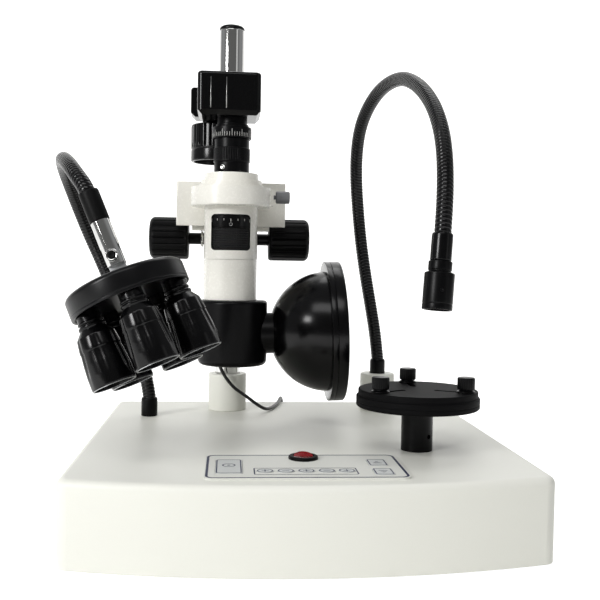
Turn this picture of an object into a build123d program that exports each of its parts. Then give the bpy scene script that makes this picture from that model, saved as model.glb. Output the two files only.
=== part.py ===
"""Stereo video microscope on a lit bench stand, with a turntable and two gooseneck lights.

Millimetres. +X is the operator's right, +Y is the back, +Z is up. The origin is on the standing surface,
under the centre of the base. Each piece is written to parts/ as a STEP file of its own.
"""
import os
from math import cos, pi, radians, sin, sqrt, tan

from build123d import *

os.makedirs("parts", exist_ok=True)

# ---- driving dimensions: base ----
base_width = 360.0
base_depth = 347.0
base_bow = 24.0  # how far the front's middle stands ahead of its corners
deck_z = 67.5
foot_height = 4.0
foot_radius = 12.0
shell_wall = 3.0
plate_thickness = 3.0
front_corner_radius = 12.0
back_corner_radius = 10.0
deck_edge_radius = 6.0
screw_radius = 2.0
run_gap = 0.05  # radial clearance of a turning or sliding fit
part_gap = 0.3  # clearance between pieces that only lie beside each other

# ---- driving dimensions: control panel ----
panel_size = (148.0, 74.0)
panel_setback = 32.5  # from the front corners' line back to the panel's middle
panel_centre = (-3.0, panel_setback - base_depth / 2)
panel_thickness = 1.5
key_travel = 0.5
key_thickness = 1.2
key_rise = 0.4
key_stem_radius = 1.25
board_thickness = 1.6
rocker_centre = (-1.9, panel_centre[1] + 24.0)
rocker_radius = 7.5
bezel_radius = 11.5
bezel_body_radius = 9.8
bezel_rise = 2.5
bezel_depth = 22.0
rocker_tilt = 8.0

# ---- driving dimensions: pillar and arm ----
pillar_x, pillar_y = -61.2, 122.0
pillar_radius = 13.0
pillar_wall = 2.0
pillar_top = 459.3
cap_rise = 5.0
socket_radius = 19.5
socket_height = 38.0
bush_wall = 2.0
arm_bottom, arm_top = 215.0, 297.0
arm_width = 50.0
arm_depth = 68.0
guide_width = 76.0
guide_depth = 12.0
guide_bottom = 252.0
knob_axis_y, knob_axis_z = 98.0, 244.3
knob_radius = 21.0
knob_ends = (-140.5, -102.0, -21.6, 19.0)
shaft_radius = 5.85
tooth_module = 0.8
pinion_teeth = 12
rack_length = 58.0
rack_width = 12.0

# ---- driving dimensions: carriage and scope ----
scope_x, scope_y = -60.0, 37.0
carriage_width = 106.0
carriage_bottom, carriage_top = 256.0, 298.6
carriage_front, carriage_back = 66.0, 76.5
dovetail_front, dovetail_back = 24.0, 34.0
tube_radius = 25.0
seam_z = 223.0
nose_bottom = 185.5
ring_radius = 37.5
ring_bottom, ring_step, ring_top = 272.3, 290.0, 292.2
screw_z = 282.5
collar_radius, collar_top = 28.7, 296.7
neck_radius, neck_top = 25.5, 303.0
window_width, window_bottom, window_top = 36.0, 231.5, 264.6
zoom_ring_radius = 23.5
zoom_ring_bottom, zoom_ring_top = 228.4, 268.2

# ---- driving dimensions: mirror housing and dome ----
housing_x = -57.0
housing_radius = 32.4
housing_bottom, housing_top = 124.2, 185.2
housing_wall = 3.0
look_z = 152.8
look_tilt = 2.4  # the dome looks this many degrees upward
look_neck_radius, look_bore_radius = 19.25, 16.0
look_neck_end = 38.2
dome_radius = 57.0
dome_wall = 2.5
dome_shortfall = 4.0  # how far the dome stops short of a full half sphere
flange_width = 9.2
mouth_lip = 7.0
rim_depth = 11.5
flange_back = 3.0  # how far the dome's flange stands behind its widest section
led_count = 24

# ---- driving dimensions: cameras ----
adapter_steps = [(303.0, 16.4), (313.8, 17.0), (327.0, 16.3), (335.4, 14.6), (346.6, 15.4), (349.0, 14.0)]
adapter_top = 355.0
adapter_bore = 11.0
focus_ring_radius = 18.2
camera_box = (-92.0, -34.0, 12.0, 66.0, 355.0, 394.0)
camera_wall = 2.5
second_box = (-100.0, -50.0, 66.0, 96.0, 361.0, 389.0)
second_lens_centre = (-74.0, 80.0)
second_lens_radius = 26.0
second_lens_bottom, second_lens_top = 319.0, 354.7
flute_count = 26

# ---- driving dimensions: turntable ----
table_x, table_y = 96.0, -78.0
post_radius, post_top = 13.0, 101.5
spindle_radius = 6.0
table_bottom, table_rim_top, table_top = 103.5, 113.0, 118.0
table_ring_radius, table_plate_radius = 50.8, 49.2
clamp_circle = 40.4
clamp_stem_radius = 2.3
clamp_travel = 24.0
clamp_phase = 90.0

# ---- driving dimensions: gooseneck lights ----
neck_tube_radius = 6.5
sleeve_radius = 8.0
spot_foot = (98.0, 125.0)
spot_collar_radius, spot_collar_top = 18.0, 106.0
spot_route = [
    (98, 125, 120), (95.4, 125, 145), (89.6, 126, 177), (82.8, 127, 214), (77.8, 128, 247), (73.8, 127, 282),
    (70.8, 122, 310), (68.8, 110, 334), (68.8, 92, 357), (72.8, 70, 375), (80.8, 38, 389), (90.8, -5, 390),
    (96.8, -48, 375), (100.8, -85, 353), (101.8, -112, 329), (100.8, -130, 306), (98.8, -142, 283),
    (96.8, -149, 260), (95.2, -151.2, 241),
]
spot_head_radius = 11.2
cluster_foot = (-138.0, 80.0)
cluster_sleeve_top = 86.0
cluster_route = [
    (-138, 80, 85), (-139.6, 80.5, 98), (-146, 82.5, 120.5), (-158.5, 85, 152), (-172.5, 86, 186.5),
    (-186, 84, 219), (-197, 78, 245), (-205.5, 66, 270), (-210.5, 48, 290), (-211, 22, 302),
    (-206.5, -10, 306.5), (-199.5, -42, 304), (-190, -71, 296.5), (-180.5, -91, 286),
]
cluster_centre = (-141.0, -115.0, 205.0)  # middle of the drum's top face
cluster_lean, cluster_nod = 23.2, 10.3
drum_radius, drum_height = 46.5, 17.6
lamp_circle, lamp_radius, lamp_end = 35.2, 16.8, 72.8
lamp_count = 5
lamp_phase = 81.0
pivot_rise = 19.5
fork_radius, fork_rise = 7.5, 48.5
fork_length = 36.0
fork_sleeve = 28.0  # plain sleeve above the fork
pivot_radius = 2.5
tongue_thickness = 6.0
tongue_radius = 6.4

# ---- driving dimensions: lead ----
lead_radius = 1.7
lead_route = [
    (-78, 100, 209), (-78, 100, 187), (-77.5, 99.5, 162), (-75.5, 97, 137), (-69.4, 95, 114),
    (-57, 94.5, 95), (-42, 95, 85), (-31, 94.5, 76.5), (-22, 99.5, 70.6), (-15.5, 114, 69.6),
    (-9, 136, 69.5), (-4.5, 158, 70.6), (-1.5, 176, 72), (1, 191, 63), (2, 193, 51), (2, 188, 40),
    (2, 175.4, 38),
]
lead_exit_rise = 6.0

# ---- worked out ----
back_y = base_depth / 2
front_y = -base_depth / 2
floor_z = foot_height
plate_top = foot_height + plate_thickness
deck_under = deck_z - shell_wall
panel_top = deck_z + panel_thickness
bush_radius = pillar_radius + run_gap + bush_wall
guide_front = knob_axis_y - 19.4
dome_depth = dome_radius - dome_shortfall
rim_radius = dome_radius + flange_width
mouth_radius = dome_radius - mouth_lip
scope = (scope_x, scope_y)
pillar = (pillar_x, pillar_y)


# ---- shapes used more than once ----
def axial_plane(origin, direction):
    """Sketch plane through an axis: its X is the radius and its Y runs along the axis."""
    along = Vector(direction).normalized()
    seed = Vector(1, 0, 0) if abs(along.Y) > 0.9 else Vector(0, 1, 0)
    radial = seed.cross(along).normalized()
    return Plane(origin=origin, x_dir=radial, z_dir=radial.cross(along))


def turned(origin, direction, outline, mode=Mode.ADD):
    """Turned shape in the open part: outline is a list of (radius, distance along the axis)."""
    with BuildSketch(axial_plane(origin, direction)) as profile:
        with BuildLine():
            Polyline(*outline, close=True)
        make_face()
    revolve(profile.sketch, axis=Axis(origin, direction), mode=mode)


def stepped(steps, end, bore=0.0):
    """Outline of a stepped barrel from (start, radius) steps, its end and its bore."""
    outline = [(bore, steps[0][0])]
    for (start, radius), (finish, _) in zip(steps, steps[1:] + [(end, 0)]):
        outline += [(radius, start), (radius, finish)]
    return outline + [(bore, end)]


def pipe(points, radius):
    """Round tube in the open part along straight runs, with the largest tangent arcs the runs allow."""
    corner_radii = []
    for before, corner, after in zip(points, points[1:], points[2:]):
        arriving = Vector(*corner) - Vector(*before)
        leaving = Vector(*after) - Vector(*corner)
        half_turn = radians(arriving.get_angle(leaving)) / 2
        corner_radii.append(0.45 * min(arriving.length, leaving.length) / tan(half_turn))
    with BuildLine() as route:
        FilletPolyline(*points, radius=corner_radii)
    with BuildSketch(Plane(origin=route.line @ 0, z_dir=route.line % 0)) as section:
        Circle(radius)
    sweep(section.sketch, path=route.line)
    return corner_radii


def footprint(inset=0.0):
    """Outline of the base in the open sketch: straight back and sides, bowed front, rounded corners."""
    half, back, front = base_width / 2, back_y, front_y
    with BuildLine() as outline:
        Polyline((-half, front), (-half, back), (half, back), (half, front))
        ThreePointArc((half, front), (0, front - base_bow), (-half, front))
    make_face(outline.edges())
    corners = vertices().sort_by(Axis.Y)
    fillet(corners[:2], front_corner_radius)
    fillet(vertices().sort_by(Axis.Y)[-2:], back_corner_radius)
    if inset:
        offset(amount=-inset)


# ---- base: housing, bottom plate, feet and fasteners ----
screw_x, screw_front, screw_back = base_width / 2 - 25, front_y + 33.5, back_y - 23.5
screw_spots = [(-screw_x, screw_front), (screw_x, screw_front), (-screw_x, screw_back), (screw_x, screw_back),
               (0, front_y - base_bow + 11.5), (0, screw_back)]
foot_x, foot_y = base_width / 2 - 40, base_depth / 2 - 38.5
foot_spots = [(x, y) for x in (-foot_x, foot_x) for y in (-foot_y, foot_y)] + [(0, 0)]
inlet_x, inlet_z = 105.0, 34.0
inlet_size = (28.0, 20.0)
jack_x, jack_z, jack_radius = 2.0, 38.0, 5.0

keys_y = panel_centre[1]
key_shapes = {"mode_key": (-59.4, keys_y - 2.3, 19.8, 43.4), "up_key": (53.2, keys_y + 9.0, 14.5, 20.0),
              "down_key": (53.2, keys_y - 19.5, 14.5, 19.0)}
oval_key_x = [-33.2, -18.1, -3.1, 11.9, 26.6]
oval_key_y = keys_y - 16.5
oval_radii = (6.3, 5.4)
key_spots = [(x, y) for x, y, _, _ in key_shapes.values()] + [(x, oval_key_y) for x in oval_key_x]

with BuildPart() as base_shell:
    with BuildSketch(Plane.XY.offset(floor_z)):
        footprint()
    extrude(amount=deck_z - floor_z)
    fillet(edges().group_by(Axis.Z)[-1], deck_edge_radius)
    with BuildSketch(Plane.XY.offset(floor_z)):
        footprint(shell_wall)
    extrude(amount=deck_under - floor_z, mode=Mode.SUBTRACT)
    with BuildSketch(Plane.XY.offset(plate_top)):
        with Locations(*screw_spots):
            Circle(screw_radius + 3)
    extrude(amount=deck_under - plate_top + 1)
    with BuildSketch(Plane.XY.offset(deck_under - 12)):
        with Locations(cluster_foot, spot_foot):
            Circle(sleeve_radius + 3)
    extrude(amount=13)
    with BuildSketch(Plane.XY.offset(plate_top)):
        with Locations(*screw_spots):
            Circle(screw_radius)
    extrude(amount=14, mode=Mode.SUBTRACT)
    with BuildSketch(Plane.XY.offset(deck_under - 13)):
        with Locations(pillar):
            Circle(pillar_radius + part_gap)
        with Locations(cluster_foot):
            Circle(neck_tube_radius - 1 + run_gap)
        with Locations(spot_foot):
            Circle(4)
        with Locations(rocker_centre):
            Circle(bezel_body_radius)
        with Locations(*key_spots):
            Circle(key_stem_radius + 0.5)
    extrude(amount=40, mode=Mode.SUBTRACT)
    with BuildSketch(Plane.XZ.offset(-back_y - 1)):
        with Locations((inlet_x, inlet_z)):
            Rectangle(*inlet_size)
        with Locations((jack_x, jack_z)):
            Circle(jack_radius)
    extrude(amount=shell_wall + 2, mode=Mode.SUBTRACT)
base_shell.part.label = "base_shell"
export_step(base_shell.part, "parts/base_shell.step")

with BuildPart() as base_plate:
    with BuildSketch(Plane.XY.offset(floor_z)):
        footprint(shell_wall + part_gap)
    extrude(amount=plate_thickness)
    with BuildSketch(Plane.XY.offset(floor_z)):
        with Locations(*screw_spots):
            Circle(screw_radius + part_gap)
        with Locations(pillar):
            Circle(4 + part_gap)
    extrude(amount=plate_thickness, mode=Mode.SUBTRACT)
base_plate.part.label = "base_plate"
export_step(base_plate.part, "parts/base_plate.step")

with BuildPart() as rubber_feet:
    with BuildSketch():
        with Locations(*foot_spots):
            Circle(foot_radius)
    extrude(amount=foot_height, taper=8)
rubber_feet.part.label = "rubber_feet"
export_step(rubber_feet.part, "parts/rubber_feet.step")

with BuildPart() as base_screws:
    with BuildSketch(Plane.XY.offset(floor_z)):
        with Locations(*screw_spots):
            Circle(screw_radius)
    extrude(amount=plate_thickness + 12)
    with BuildSketch(Plane.XY.offset(floor_z - 2)):
        with Locations(*screw_spots):
            Circle(screw_radius + 2)
    extrude(amount=2)
    with BuildSketch(Plane.XY.offset(floor_z - 3)):
        with Locations(pillar):
            RegularPolygon(7.5, 6)
    extrude(amount=3)
    with BuildSketch(Plane.XY.offset(floor_z)):
        with Locations(pillar):
            Circle(4)
    extrude(amount=plate_thickness + 16)
base_screws.part.label = "base_screws"
export_step(base_screws.part, "parts/base_screws.step")

# ---- control panel and keys ----
with BuildPart() as control_panel:
    with BuildSketch(Plane.XY.offset(deck_z)):
        with Locations(panel_centre):
            RectangleRounded(*panel_size, 6)
        with Locations(rocker_centre):
            Circle(bezel_body_radius, mode=Mode.SUBTRACT)
        for x, y, width, depth in key_shapes.values():
            with Locations((x, y)):
                RectangleRounded(width + 2 * part_gap, depth + 2 * part_gap, 2.5, mode=Mode.SUBTRACT)
        with Locations(*[(x, oval_key_y) for x in oval_key_x]):
            Ellipse(oval_radii[0] + part_gap, oval_radii[1] + part_gap, mode=Mode.SUBTRACT)
    extrude(amount=panel_thickness)
control_panel.part.label = "control_panel"
export_step(control_panel.part, "parts/control_panel.step")

key_bottom = panel_top + key_rise - key_thickness
board_z = 58.0
switch_top = board_z + board_thickness + 1.2


def key_stem():
    """Stem of the key in the open part, from its cap down to just above its switch."""
    extrude(amount=-(key_bottom - switch_top - key_travel - 0.1))


for name, (x, y, width, depth) in key_shapes.items():
    with BuildPart() as key:
        with BuildSketch(Plane.XY.offset(key_bottom)):
            with Locations((x, y)):
                RectangleRounded(width, depth, 2.2)
        extrude(amount=key_thickness)
        with BuildSketch(Plane.XY.offset(key_bottom)):
            with Locations((x, y)):
                Circle(key_stem_radius)
        key_stem()
    key.part.label = name
    export_step(key.part, f"parts/{name}.step")

for number, x in enumerate(oval_key_x, start=1):
    with BuildPart() as oval_key:
        with BuildSketch(Plane.XY.offset(key_bottom)):
            with Locations((x, oval_key_y)):
                Ellipse(*oval_radii)
        extrude(amount=key_thickness)
        with BuildSketch(Plane.XY.offset(key_bottom)):
            with Locations((x, oval_key_y)):
                Circle(key_stem_radius)
        key_stem()
    oval_key.part.label = f"oval_key_{number}"
    export_step(oval_key.part, f"parts/oval_key_{number}.step")

with BuildPart() as key_board:
    with BuildSketch(Plane.XY.offset(board_z)):
        with Locations((panel_centre[0], panel_centre[1] - 9)):
            Rectangle(panel_size[0] - 6, 52)
        with Locations(rocker_centre):
            Circle(bezel_body_radius + 1, mode=Mode.SUBTRACT)
    extrude(amount=board_thickness)
    with BuildSketch(Plane.XY.offset(board_z)):
        with Locations(*key_spots):
            Rectangle(6, 6)
    extrude(amount=switch_top - board_z)
    with BuildSketch(Plane.XY.offset(board_z + board_thickness)):
        with Locations((panel_centre[0], panel_centre[1] - 9)):
            with GridLocations(panel_size[0] - 14, 44, 2, 2):
                Circle(2.5)
    extrude(amount=deck_under - board_z - board_thickness)
key_board.part.label = "key_board"
export_step(key_board.part, "parts/key_board.step")

# ---- rocker switch ----
rocker_axis_z = panel_top - 2.0
with BuildPart() as rocker_bezel:
    with BuildSketch(Plane.XY.offset(panel_top)):
        with Locations(rocker_centre):
            Circle(bezel_radius)
    extrude(amount=bezel_rise)
    fillet(edges().group_by(Axis.Z)[-1], 1.2)
    with BuildSketch(Plane.XY.offset(panel_top)):
        with Locations(rocker_centre):
            Circle(bezel_body_radius)
    extrude(amount=-bezel_depth)
    with BuildSketch(Plane.XY.offset(panel_top + bezel_rise)):
        with Locations(rocker_centre):
            Circle(rocker_radius + 0.9)
    extrude(amount=-12, mode=Mode.SUBTRACT)
    with BuildSketch(Plane.YZ.offset(rocker_centre[0])):
        with Locations((rocker_centre[1], rocker_axis_z)):
            Circle(1.2 + run_gap)
    extrude(amount=rocker_radius + 1.6, both=True, mode=Mode.SUBTRACT)
rocker_bezel.part.label = "rocker_bezel"
export_step(rocker_bezel.part, "parts/rocker_bezel.step")

with BuildPart() as rocker:
    with BuildSketch(Plane.XY.offset(rocker_axis_z - 3)):
        with Locations(rocker_centre):
            Circle(rocker_radius)
    extrude(amount=3 + 5.4)
    with BuildSketch(Plane.YZ.offset(rocker_centre[0])):
        ridge_z = rocker_axis_z + 4.2
        drop = tan(radians(rocker_tilt)) * 12
        with BuildLine():
            Polyline(
                (rocker_centre[1] - 12, ridge_z + drop), (rocker_centre[1], ridge_z),
                (rocker_centre[1] + 12, ridge_z + drop), (rocker_centre[1] + 12, ridge_z + 9),
                (rocker_centre[1] - 12, ridge_z + 9), close=True,
            )
        make_face()
    extrude(amount=12, both=True, mode=Mode.SUBTRACT)
    with BuildSketch(Plane.YZ.offset(rocker_centre[0])):
        with Locations((rocker_centre[1], rocker_axis_z)):
            Circle(1.2)
    extrude(amount=rocker_radius + 1.4, both=True)
rocker_pose = Axis((rocker_centre[0], rocker_centre[1], rocker_axis_z), (1, 0, 0))
tilted_rocker = rocker.part.rotate(rocker_pose, rocker_tilt)
tilted_rocker.label = "rocker"
export_step(tilted_rocker, "parts/rocker.step")

# ---- inside and behind the base ----
supply_size = (110.0, 80.0, 34.0)
with BuildPart() as power_supply:
    with BuildSketch(Plane.XY.offset(plate_top)):
        with Locations((85, 55)):
            Rectangle(supply_size[0], supply_size[1])
    extrude(amount=supply_size[2])
    fillet(edges().filter_by(Axis.Z), 2)
power_supply.part.label = "power_supply"
export_step(power_supply.part, "parts/power_supply.step")

with BuildPart() as rear_sockets:
    with BuildSketch(Plane.XZ.offset(-back_y)):
        with Locations((inlet_x, inlet_z)):
            RectangleRounded(inlet_size[0] + 12, inlet_size[1] + 8, 3)
    extrude(amount=-2)
    with BuildSketch(Plane.XZ.offset(-back_y)):
        with Locations((inlet_x, inlet_z)):
            Rectangle(inlet_size[0] - 2 * run_gap, inlet_size[1] - 2 * run_gap)
    extrude(amount=22)
    with BuildSketch(Plane.XZ.offset(-back_y - 2)):
        with Locations((inlet_x, inlet_z)):
            Rectangle(inlet_size[0] - 4, inlet_size[1] - 4)
    extrude(amount=18, mode=Mode.SUBTRACT)
    with BuildSketch(Plane.XZ.offset(-back_y + 14)):
        with Locations((inlet_x - 7, inlet_z), (inlet_x, inlet_z + 3), (inlet_x + 7, inlet_z)):
            Rectangle(2, 4.5)
    extrude(amount=3, both=True)
    turned((jack_x, back_y, jack_z), (0, 1, 0), [(0, -14), (jack_radius - run_gap, -14),
           (jack_radius - run_gap, 0), (jack_radius + 2, 0), (jack_radius + 2, 1.5), (0, 1.5)])
rear_sockets.part.label = "rear_sockets"
export_step(rear_sockets.part, "parts/rear_sockets.step")

# ---- pillar ----
with BuildPart() as pillar_socket:
    turned((*pillar, 0), (0, 0, 1), stepped([(deck_z, socket_radius)], deck_z + socket_height, pillar_radius))
    chamfer(edges().group_by(Axis.Z)[-1].sort_by(SortBy.LENGTH)[-1], 1)
pillar_socket.part.label = "pillar_socket"
export_step(pillar_socket.part, "parts/pillar_socket.step")

pillar_inner = pillar_radius - pillar_wall
foot_plug = 20.0
with BuildPart() as pillar_tube:
    turned((*pillar, 0), (0, 0, 1), stepped([(plate_top, pillar_radius)], pillar_top, 4))
    with BuildSketch(Plane.XY.offset(plate_top + foot_plug)):
        with Locations(pillar):
            Circle(pillar_inner)
    extrude(amount=pillar_top - plate_top - foot_plug, mode=Mode.SUBTRACT)
pillar_tube.part.label = "pillar"
export_step(pillar_tube.part, "parts/pillar.step")

with BuildPart() as pillar_cap:
    turned((*pillar, 0), (0, 0, 1), [
        (0, pillar_top - 12), (pillar_inner - run_gap, pillar_top - 12), (pillar_inner - run_gap, pillar_top),
        (pillar_radius, pillar_top), (pillar_radius, pillar_top + cap_rise - 3),
        (pillar_radius - 1.5, pillar_top + cap_rise - 1), (pillar_radius - 4.5, pillar_top + cap_rise),
        (0, pillar_top + cap_rise)])
pillar_cap.part.label = "pillar_cap"
export_step(pillar_cap.part, "parts/pillar_cap.step")

# ---- arm: split bush, clamp block, clamp knob ----
with BuildPart() as arm_bush:
    turned((*pillar, 0), (0, 0, 1), stepped([(arm_bottom, bush_radius)], arm_top, pillar_radius + run_gap))
    with BuildSketch(Plane.XY.offset(arm_bottom)):
        with Locations((pillar_x, pillar_y + bush_radius)):
            Rectangle(2, bush_radius)
    extrude(amount=arm_top - arm_bottom, mode=Mode.SUBTRACT)
arm_bush.part.label = "arm_bush"
export_step(arm_bush.part, "parts/arm_bush.step")

block_front = guide_front + guide_depth
block_back = guide_front + arm_depth
bar_back = guide_front + 11.0
rack_tip_y = knob_axis_y - tooth_module * (pinion_teeth / 2 - 1)
pinion_outer = tooth_module * (pinion_teeth / 2 + 1)


def dovetail(clearance, depth_gap=0.0):
    """Section of the focus slide's dovetail in the open sketch, larger all round by the clearance."""
    front, back = dovetail_front / 2 + clearance, dovetail_back / 2 + clearance
    rear = bar_back + depth_gap
    with BuildLine() as outline:
        Polyline((scope_x - front, guide_front - 3), (scope_x - front, guide_front), (scope_x - back, rear),
                 (scope_x + back, rear), (scope_x + front, guide_front), (scope_x + front, guide_front - 3),
                 close=True)
    make_face(outline.edges())


gland_spot = (-78.0, 100.0)
with BuildPart() as arm_clamp:
    with BuildSketch(Plane.XY.offset(arm_bottom)):
        with Locations((scope_x, (guide_front + block_back) / 2)):
            RectangleRounded(arm_width, arm_depth, 4)
    extrude(amount=arm_top - arm_bottom)
    with BuildSketch(Plane.XY.offset(guide_bottom)):
        with Locations((scope_x, guide_front + guide_depth / 2)):
            Rectangle(guide_width, guide_depth)
    extrude(amount=arm_top - guide_bottom)
    chamfer(edges().group_by(Axis.Z)[-1], 0.8)
    with BuildSketch(Plane.XY.offset(arm_bottom)):
        with Locations(pillar):
            Circle(bush_radius + run_gap)
    extrude(amount=arm_top - arm_bottom, mode=Mode.SUBTRACT)
    with BuildSketch(Plane.XY.offset(arm_bottom)):
        dovetail(0.1, 0.2)
        with Locations((scope_x, knob_axis_y - 3)):
            Rectangle(rack_width + 1, 12)
    extrude(amount=arm_top - arm_bottom, mode=Mode.SUBTRACT)
    with BuildSketch(Plane.YZ.offset(scope_x)):
        with Locations((knob_axis_y, knob_axis_z)):
            Circle(shaft_radius + run_gap)
    extrude(amount=arm_width, both=True, mode=Mode.SUBTRACT)
    with BuildSketch(Plane.XZ.offset(-block_back)):
        with Locations((pillar_x, 275)):
            Circle(4 + run_gap)
    extrude(amount=block_back - pillar_y, mode=Mode.SUBTRACT)
    with BuildSketch(Plane.XY.offset(arm_bottom)):
        with Locations(gland_spot):
            Circle(4)
    extrude(amount=-lead_exit_rise, taper=10)
arm_clamp.part.label = "arm_clamp"
export_step(arm_clamp.part, "parts/arm_clamp.step")

with BuildPart() as arm_knob:
    turned((pillar_x, 0, 275), (0, 1, 0), [
        (0, pillar_y + bush_radius + 0.3), (4, pillar_y + bush_radius + 0.3), (4, block_back + 2),
        (9, block_back + 2), (9, block_back + 5), (15, block_back + 5), (15, block_back + 19),
        (13, block_back + 21), (0, block_back + 21)])
    with BuildSketch(Plane.XZ.offset(-block_back - 5)):
        with Locations((pillar_x, 275)):
            with PolarLocations(15.5, 10):
                Circle(2)
    extrude(amount=-17, mode=Mode.SUBTRACT)
arm_knob.part.label = "arm_knob"
export_step(arm_knob.part, "parts/arm_knob.step")

# ---- focus drive ----
tooth_pitch = pi * tooth_module
tooth_half = 0.45  # half thickness at the pitch line, thinned for backlash


def tooth_profile(pitch_line, outward):
    """Corners of one straight-sided tooth along X, its pitch line at Y, pointing up or down by outward."""
    slope = tan(radians(20))
    tip, root = tooth_half - slope * tooth_module, tooth_half + slope * 1.25 * tooth_module
    return [(-root, pitch_line - outward * 1.25 * tooth_module), (-tip, pitch_line + outward * tooth_module),
            (tip, pitch_line + outward * tooth_module), (root, pitch_line - outward * 1.25 * tooth_module)]


pitch_radius = tooth_module * pinion_teeth / 2
with BuildPart() as pinion_shaft:
    pinion_plane = Plane(origin=(scope_x, knob_axis_y, knob_axis_z), x_dir=(0, 0, 1), z_dir=(1, 0, 0))
    with BuildSketch(pinion_plane):
        Circle(pitch_radius - 1.2 * tooth_module)
        with PolarLocations(0, pinion_teeth):
            with BuildLine():
                Polyline(*[(y, x) for x, y in tooth_profile(pitch_radius, 1)], close=True)
            make_face()
    extrude(amount=rack_width / 2, both=True)
    for side, inner, outer in ((-1, rack_width / 2, scope_x - knob_ends[1] + 6),
                               (1, rack_width / 2, knob_ends[2] - scope_x + 6)):
        with BuildSketch(pinion_plane.offset(side * inner)):
            Circle(shaft_radius)
        extrude(amount=side * (outer - inner - 6))
        with BuildSketch(pinion_plane.offset(side * inner)):
            Circle(4)
        extrude(amount=side * (outer - inner + 20))
pinion_shaft.part.label = "pinion_shaft"
export_step(pinion_shaft.part, "parts/pinion_shaft.step")

with BuildPart() as focus_knobs:
    for start, end in ((knob_ends[1], knob_ends[0]), (knob_ends[2], knob_ends[3])):
        way = 1 if end > start else -1
        length = abs(end - start)
        turned((start, knob_axis_y, knob_axis_z), (way, 0, 0), [
            (4, 0), (knob_radius - 1, 0), (knob_radius, 2), (knob_radius, length - 5),
            (knob_radius - 2.5, length - 1.5), (knob_radius - 4.5, length), (0, length), (0, 26), (4, 26)])
        with BuildSketch(Plane(origin=(start, knob_axis_y, knob_axis_z), x_dir=(0, 0, 1), z_dir=(way, 0, 0))):
            with PolarLocations(knob_radius + 0.7, 20):
                Circle(1.7)
        extrude(amount=length - 5, mode=Mode.SUBTRACT)
focus_knobs.part.label = "focus_knobs"
export_step(focus_knobs.part, "parts/focus_knobs.step")

bar_bottom = carriage_bottom - 47.0
with BuildPart() as carriage:
    with BuildSketch(Plane.XY.offset(carriage_bottom)):
        with Locations((scope_x, (carriage_front + carriage_back) / 2)):
            Rectangle(carriage_width, carriage_back - carriage_front)
    extrude(amount=carriage_top - carriage_bottom)
    fillet(edges().filter_by(Axis.Z), 1.5)
    fillet(edges().group_by(Axis.Z)[-1], 1)
    with BuildSketch(Plane.XY.offset(bar_bottom)):
        dovetail(0.0)
        with Locations((scope_x, (carriage_back + guide_front) / 2 - 2)):
            Rectangle(dovetail_front, guide_front - carriage_back + 4)
        with Locations((scope_x, bar_back)):
            Rectangle(rack_width, 2, mode=Mode.SUBTRACT)
    extrude(amount=carriage_top - bar_bottom)
carriage.part.label = "carriage"
export_step(carriage.part, "parts/carriage.step")

rack_pitch_y = knob_axis_y - pitch_radius
with BuildPart() as focus_rack:
    tooth_rows = int(rack_length / tooth_pitch / 2)
    rack_middle = knob_axis_z - 6
    rack_face = rack_pitch_y - 1.25 * tooth_module
    with BuildSketch(Plane.YZ.offset(scope_x)):
        with Locations(((bar_back - 1 + rack_face) / 2, rack_middle)):
            Rectangle(rack_face - bar_back + 1, rack_length)
        for row in range(-tooth_rows + 2, tooth_rows - 4):
            centre = knob_axis_z + (row + 0.5) * tooth_pitch
            with BuildLine():
                Polyline(*[(y, centre + x) for x, y in tooth_profile(rack_pitch_y, 1)], close=True)
            make_face()
    extrude(amount=rack_width / 2, both=True)
focus_rack.part.label = "focus_rack"
export_step(focus_rack.part, "parts/focus_rack.step")

# ---- scope ring and its thumb screw ----
with BuildPart() as scope_ring:
    turned((*scope, 0), (0, 0, 1), stepped([(ring_bottom, ring_radius), (ring_step, 31.0)], ring_top))
    fillet(edges().group_by(Axis.Z)[0], 1.5)
    with BuildSketch(Plane.XY.offset(ring_bottom + 2)):
        with Locations((scope_x + ring_radius - 1.5, scope_y)):
            Rectangle(7, 16)
    extrude(amount=ring_step - ring_bottom - 3)
    with BuildSketch(Plane.XY.offset(ring_bottom)):
        with Locations(scope):
            Circle(tube_radius + run_gap)
        with Locations((scope_x, carriage_front + 20)):
            Rectangle(3 * ring_radius, 40)
    extrude(amount=ring_top - ring_bottom, mode=Mode.SUBTRACT)
    with BuildSketch(Plane.YZ.offset(scope_x)):
        with Locations((scope_y, screw_z)):
            Circle(2 + run_gap)
    extrude(amount=ring_radius + 10, mode=Mode.SUBTRACT)
scope_ring.part.label = "scope_ring"
export_step(scope_ring.part, "parts/scope_ring.step")

screw_tip = scope_x + tube_radius + 0.2
with BuildPart() as ring_screw:
    turned((screw_tip, scope_y, screw_z), (1, 0, 0), [
        (0, 0), (2, 0), (2, 16.8), (5, 16.8), (5.8, 17.6), (5.8, 29), (5, 29.8), (0, 29.8)])
ring_screw.part.label = "ring_screw"
export_step(ring_screw.part, "parts/ring_screw.step")

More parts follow.
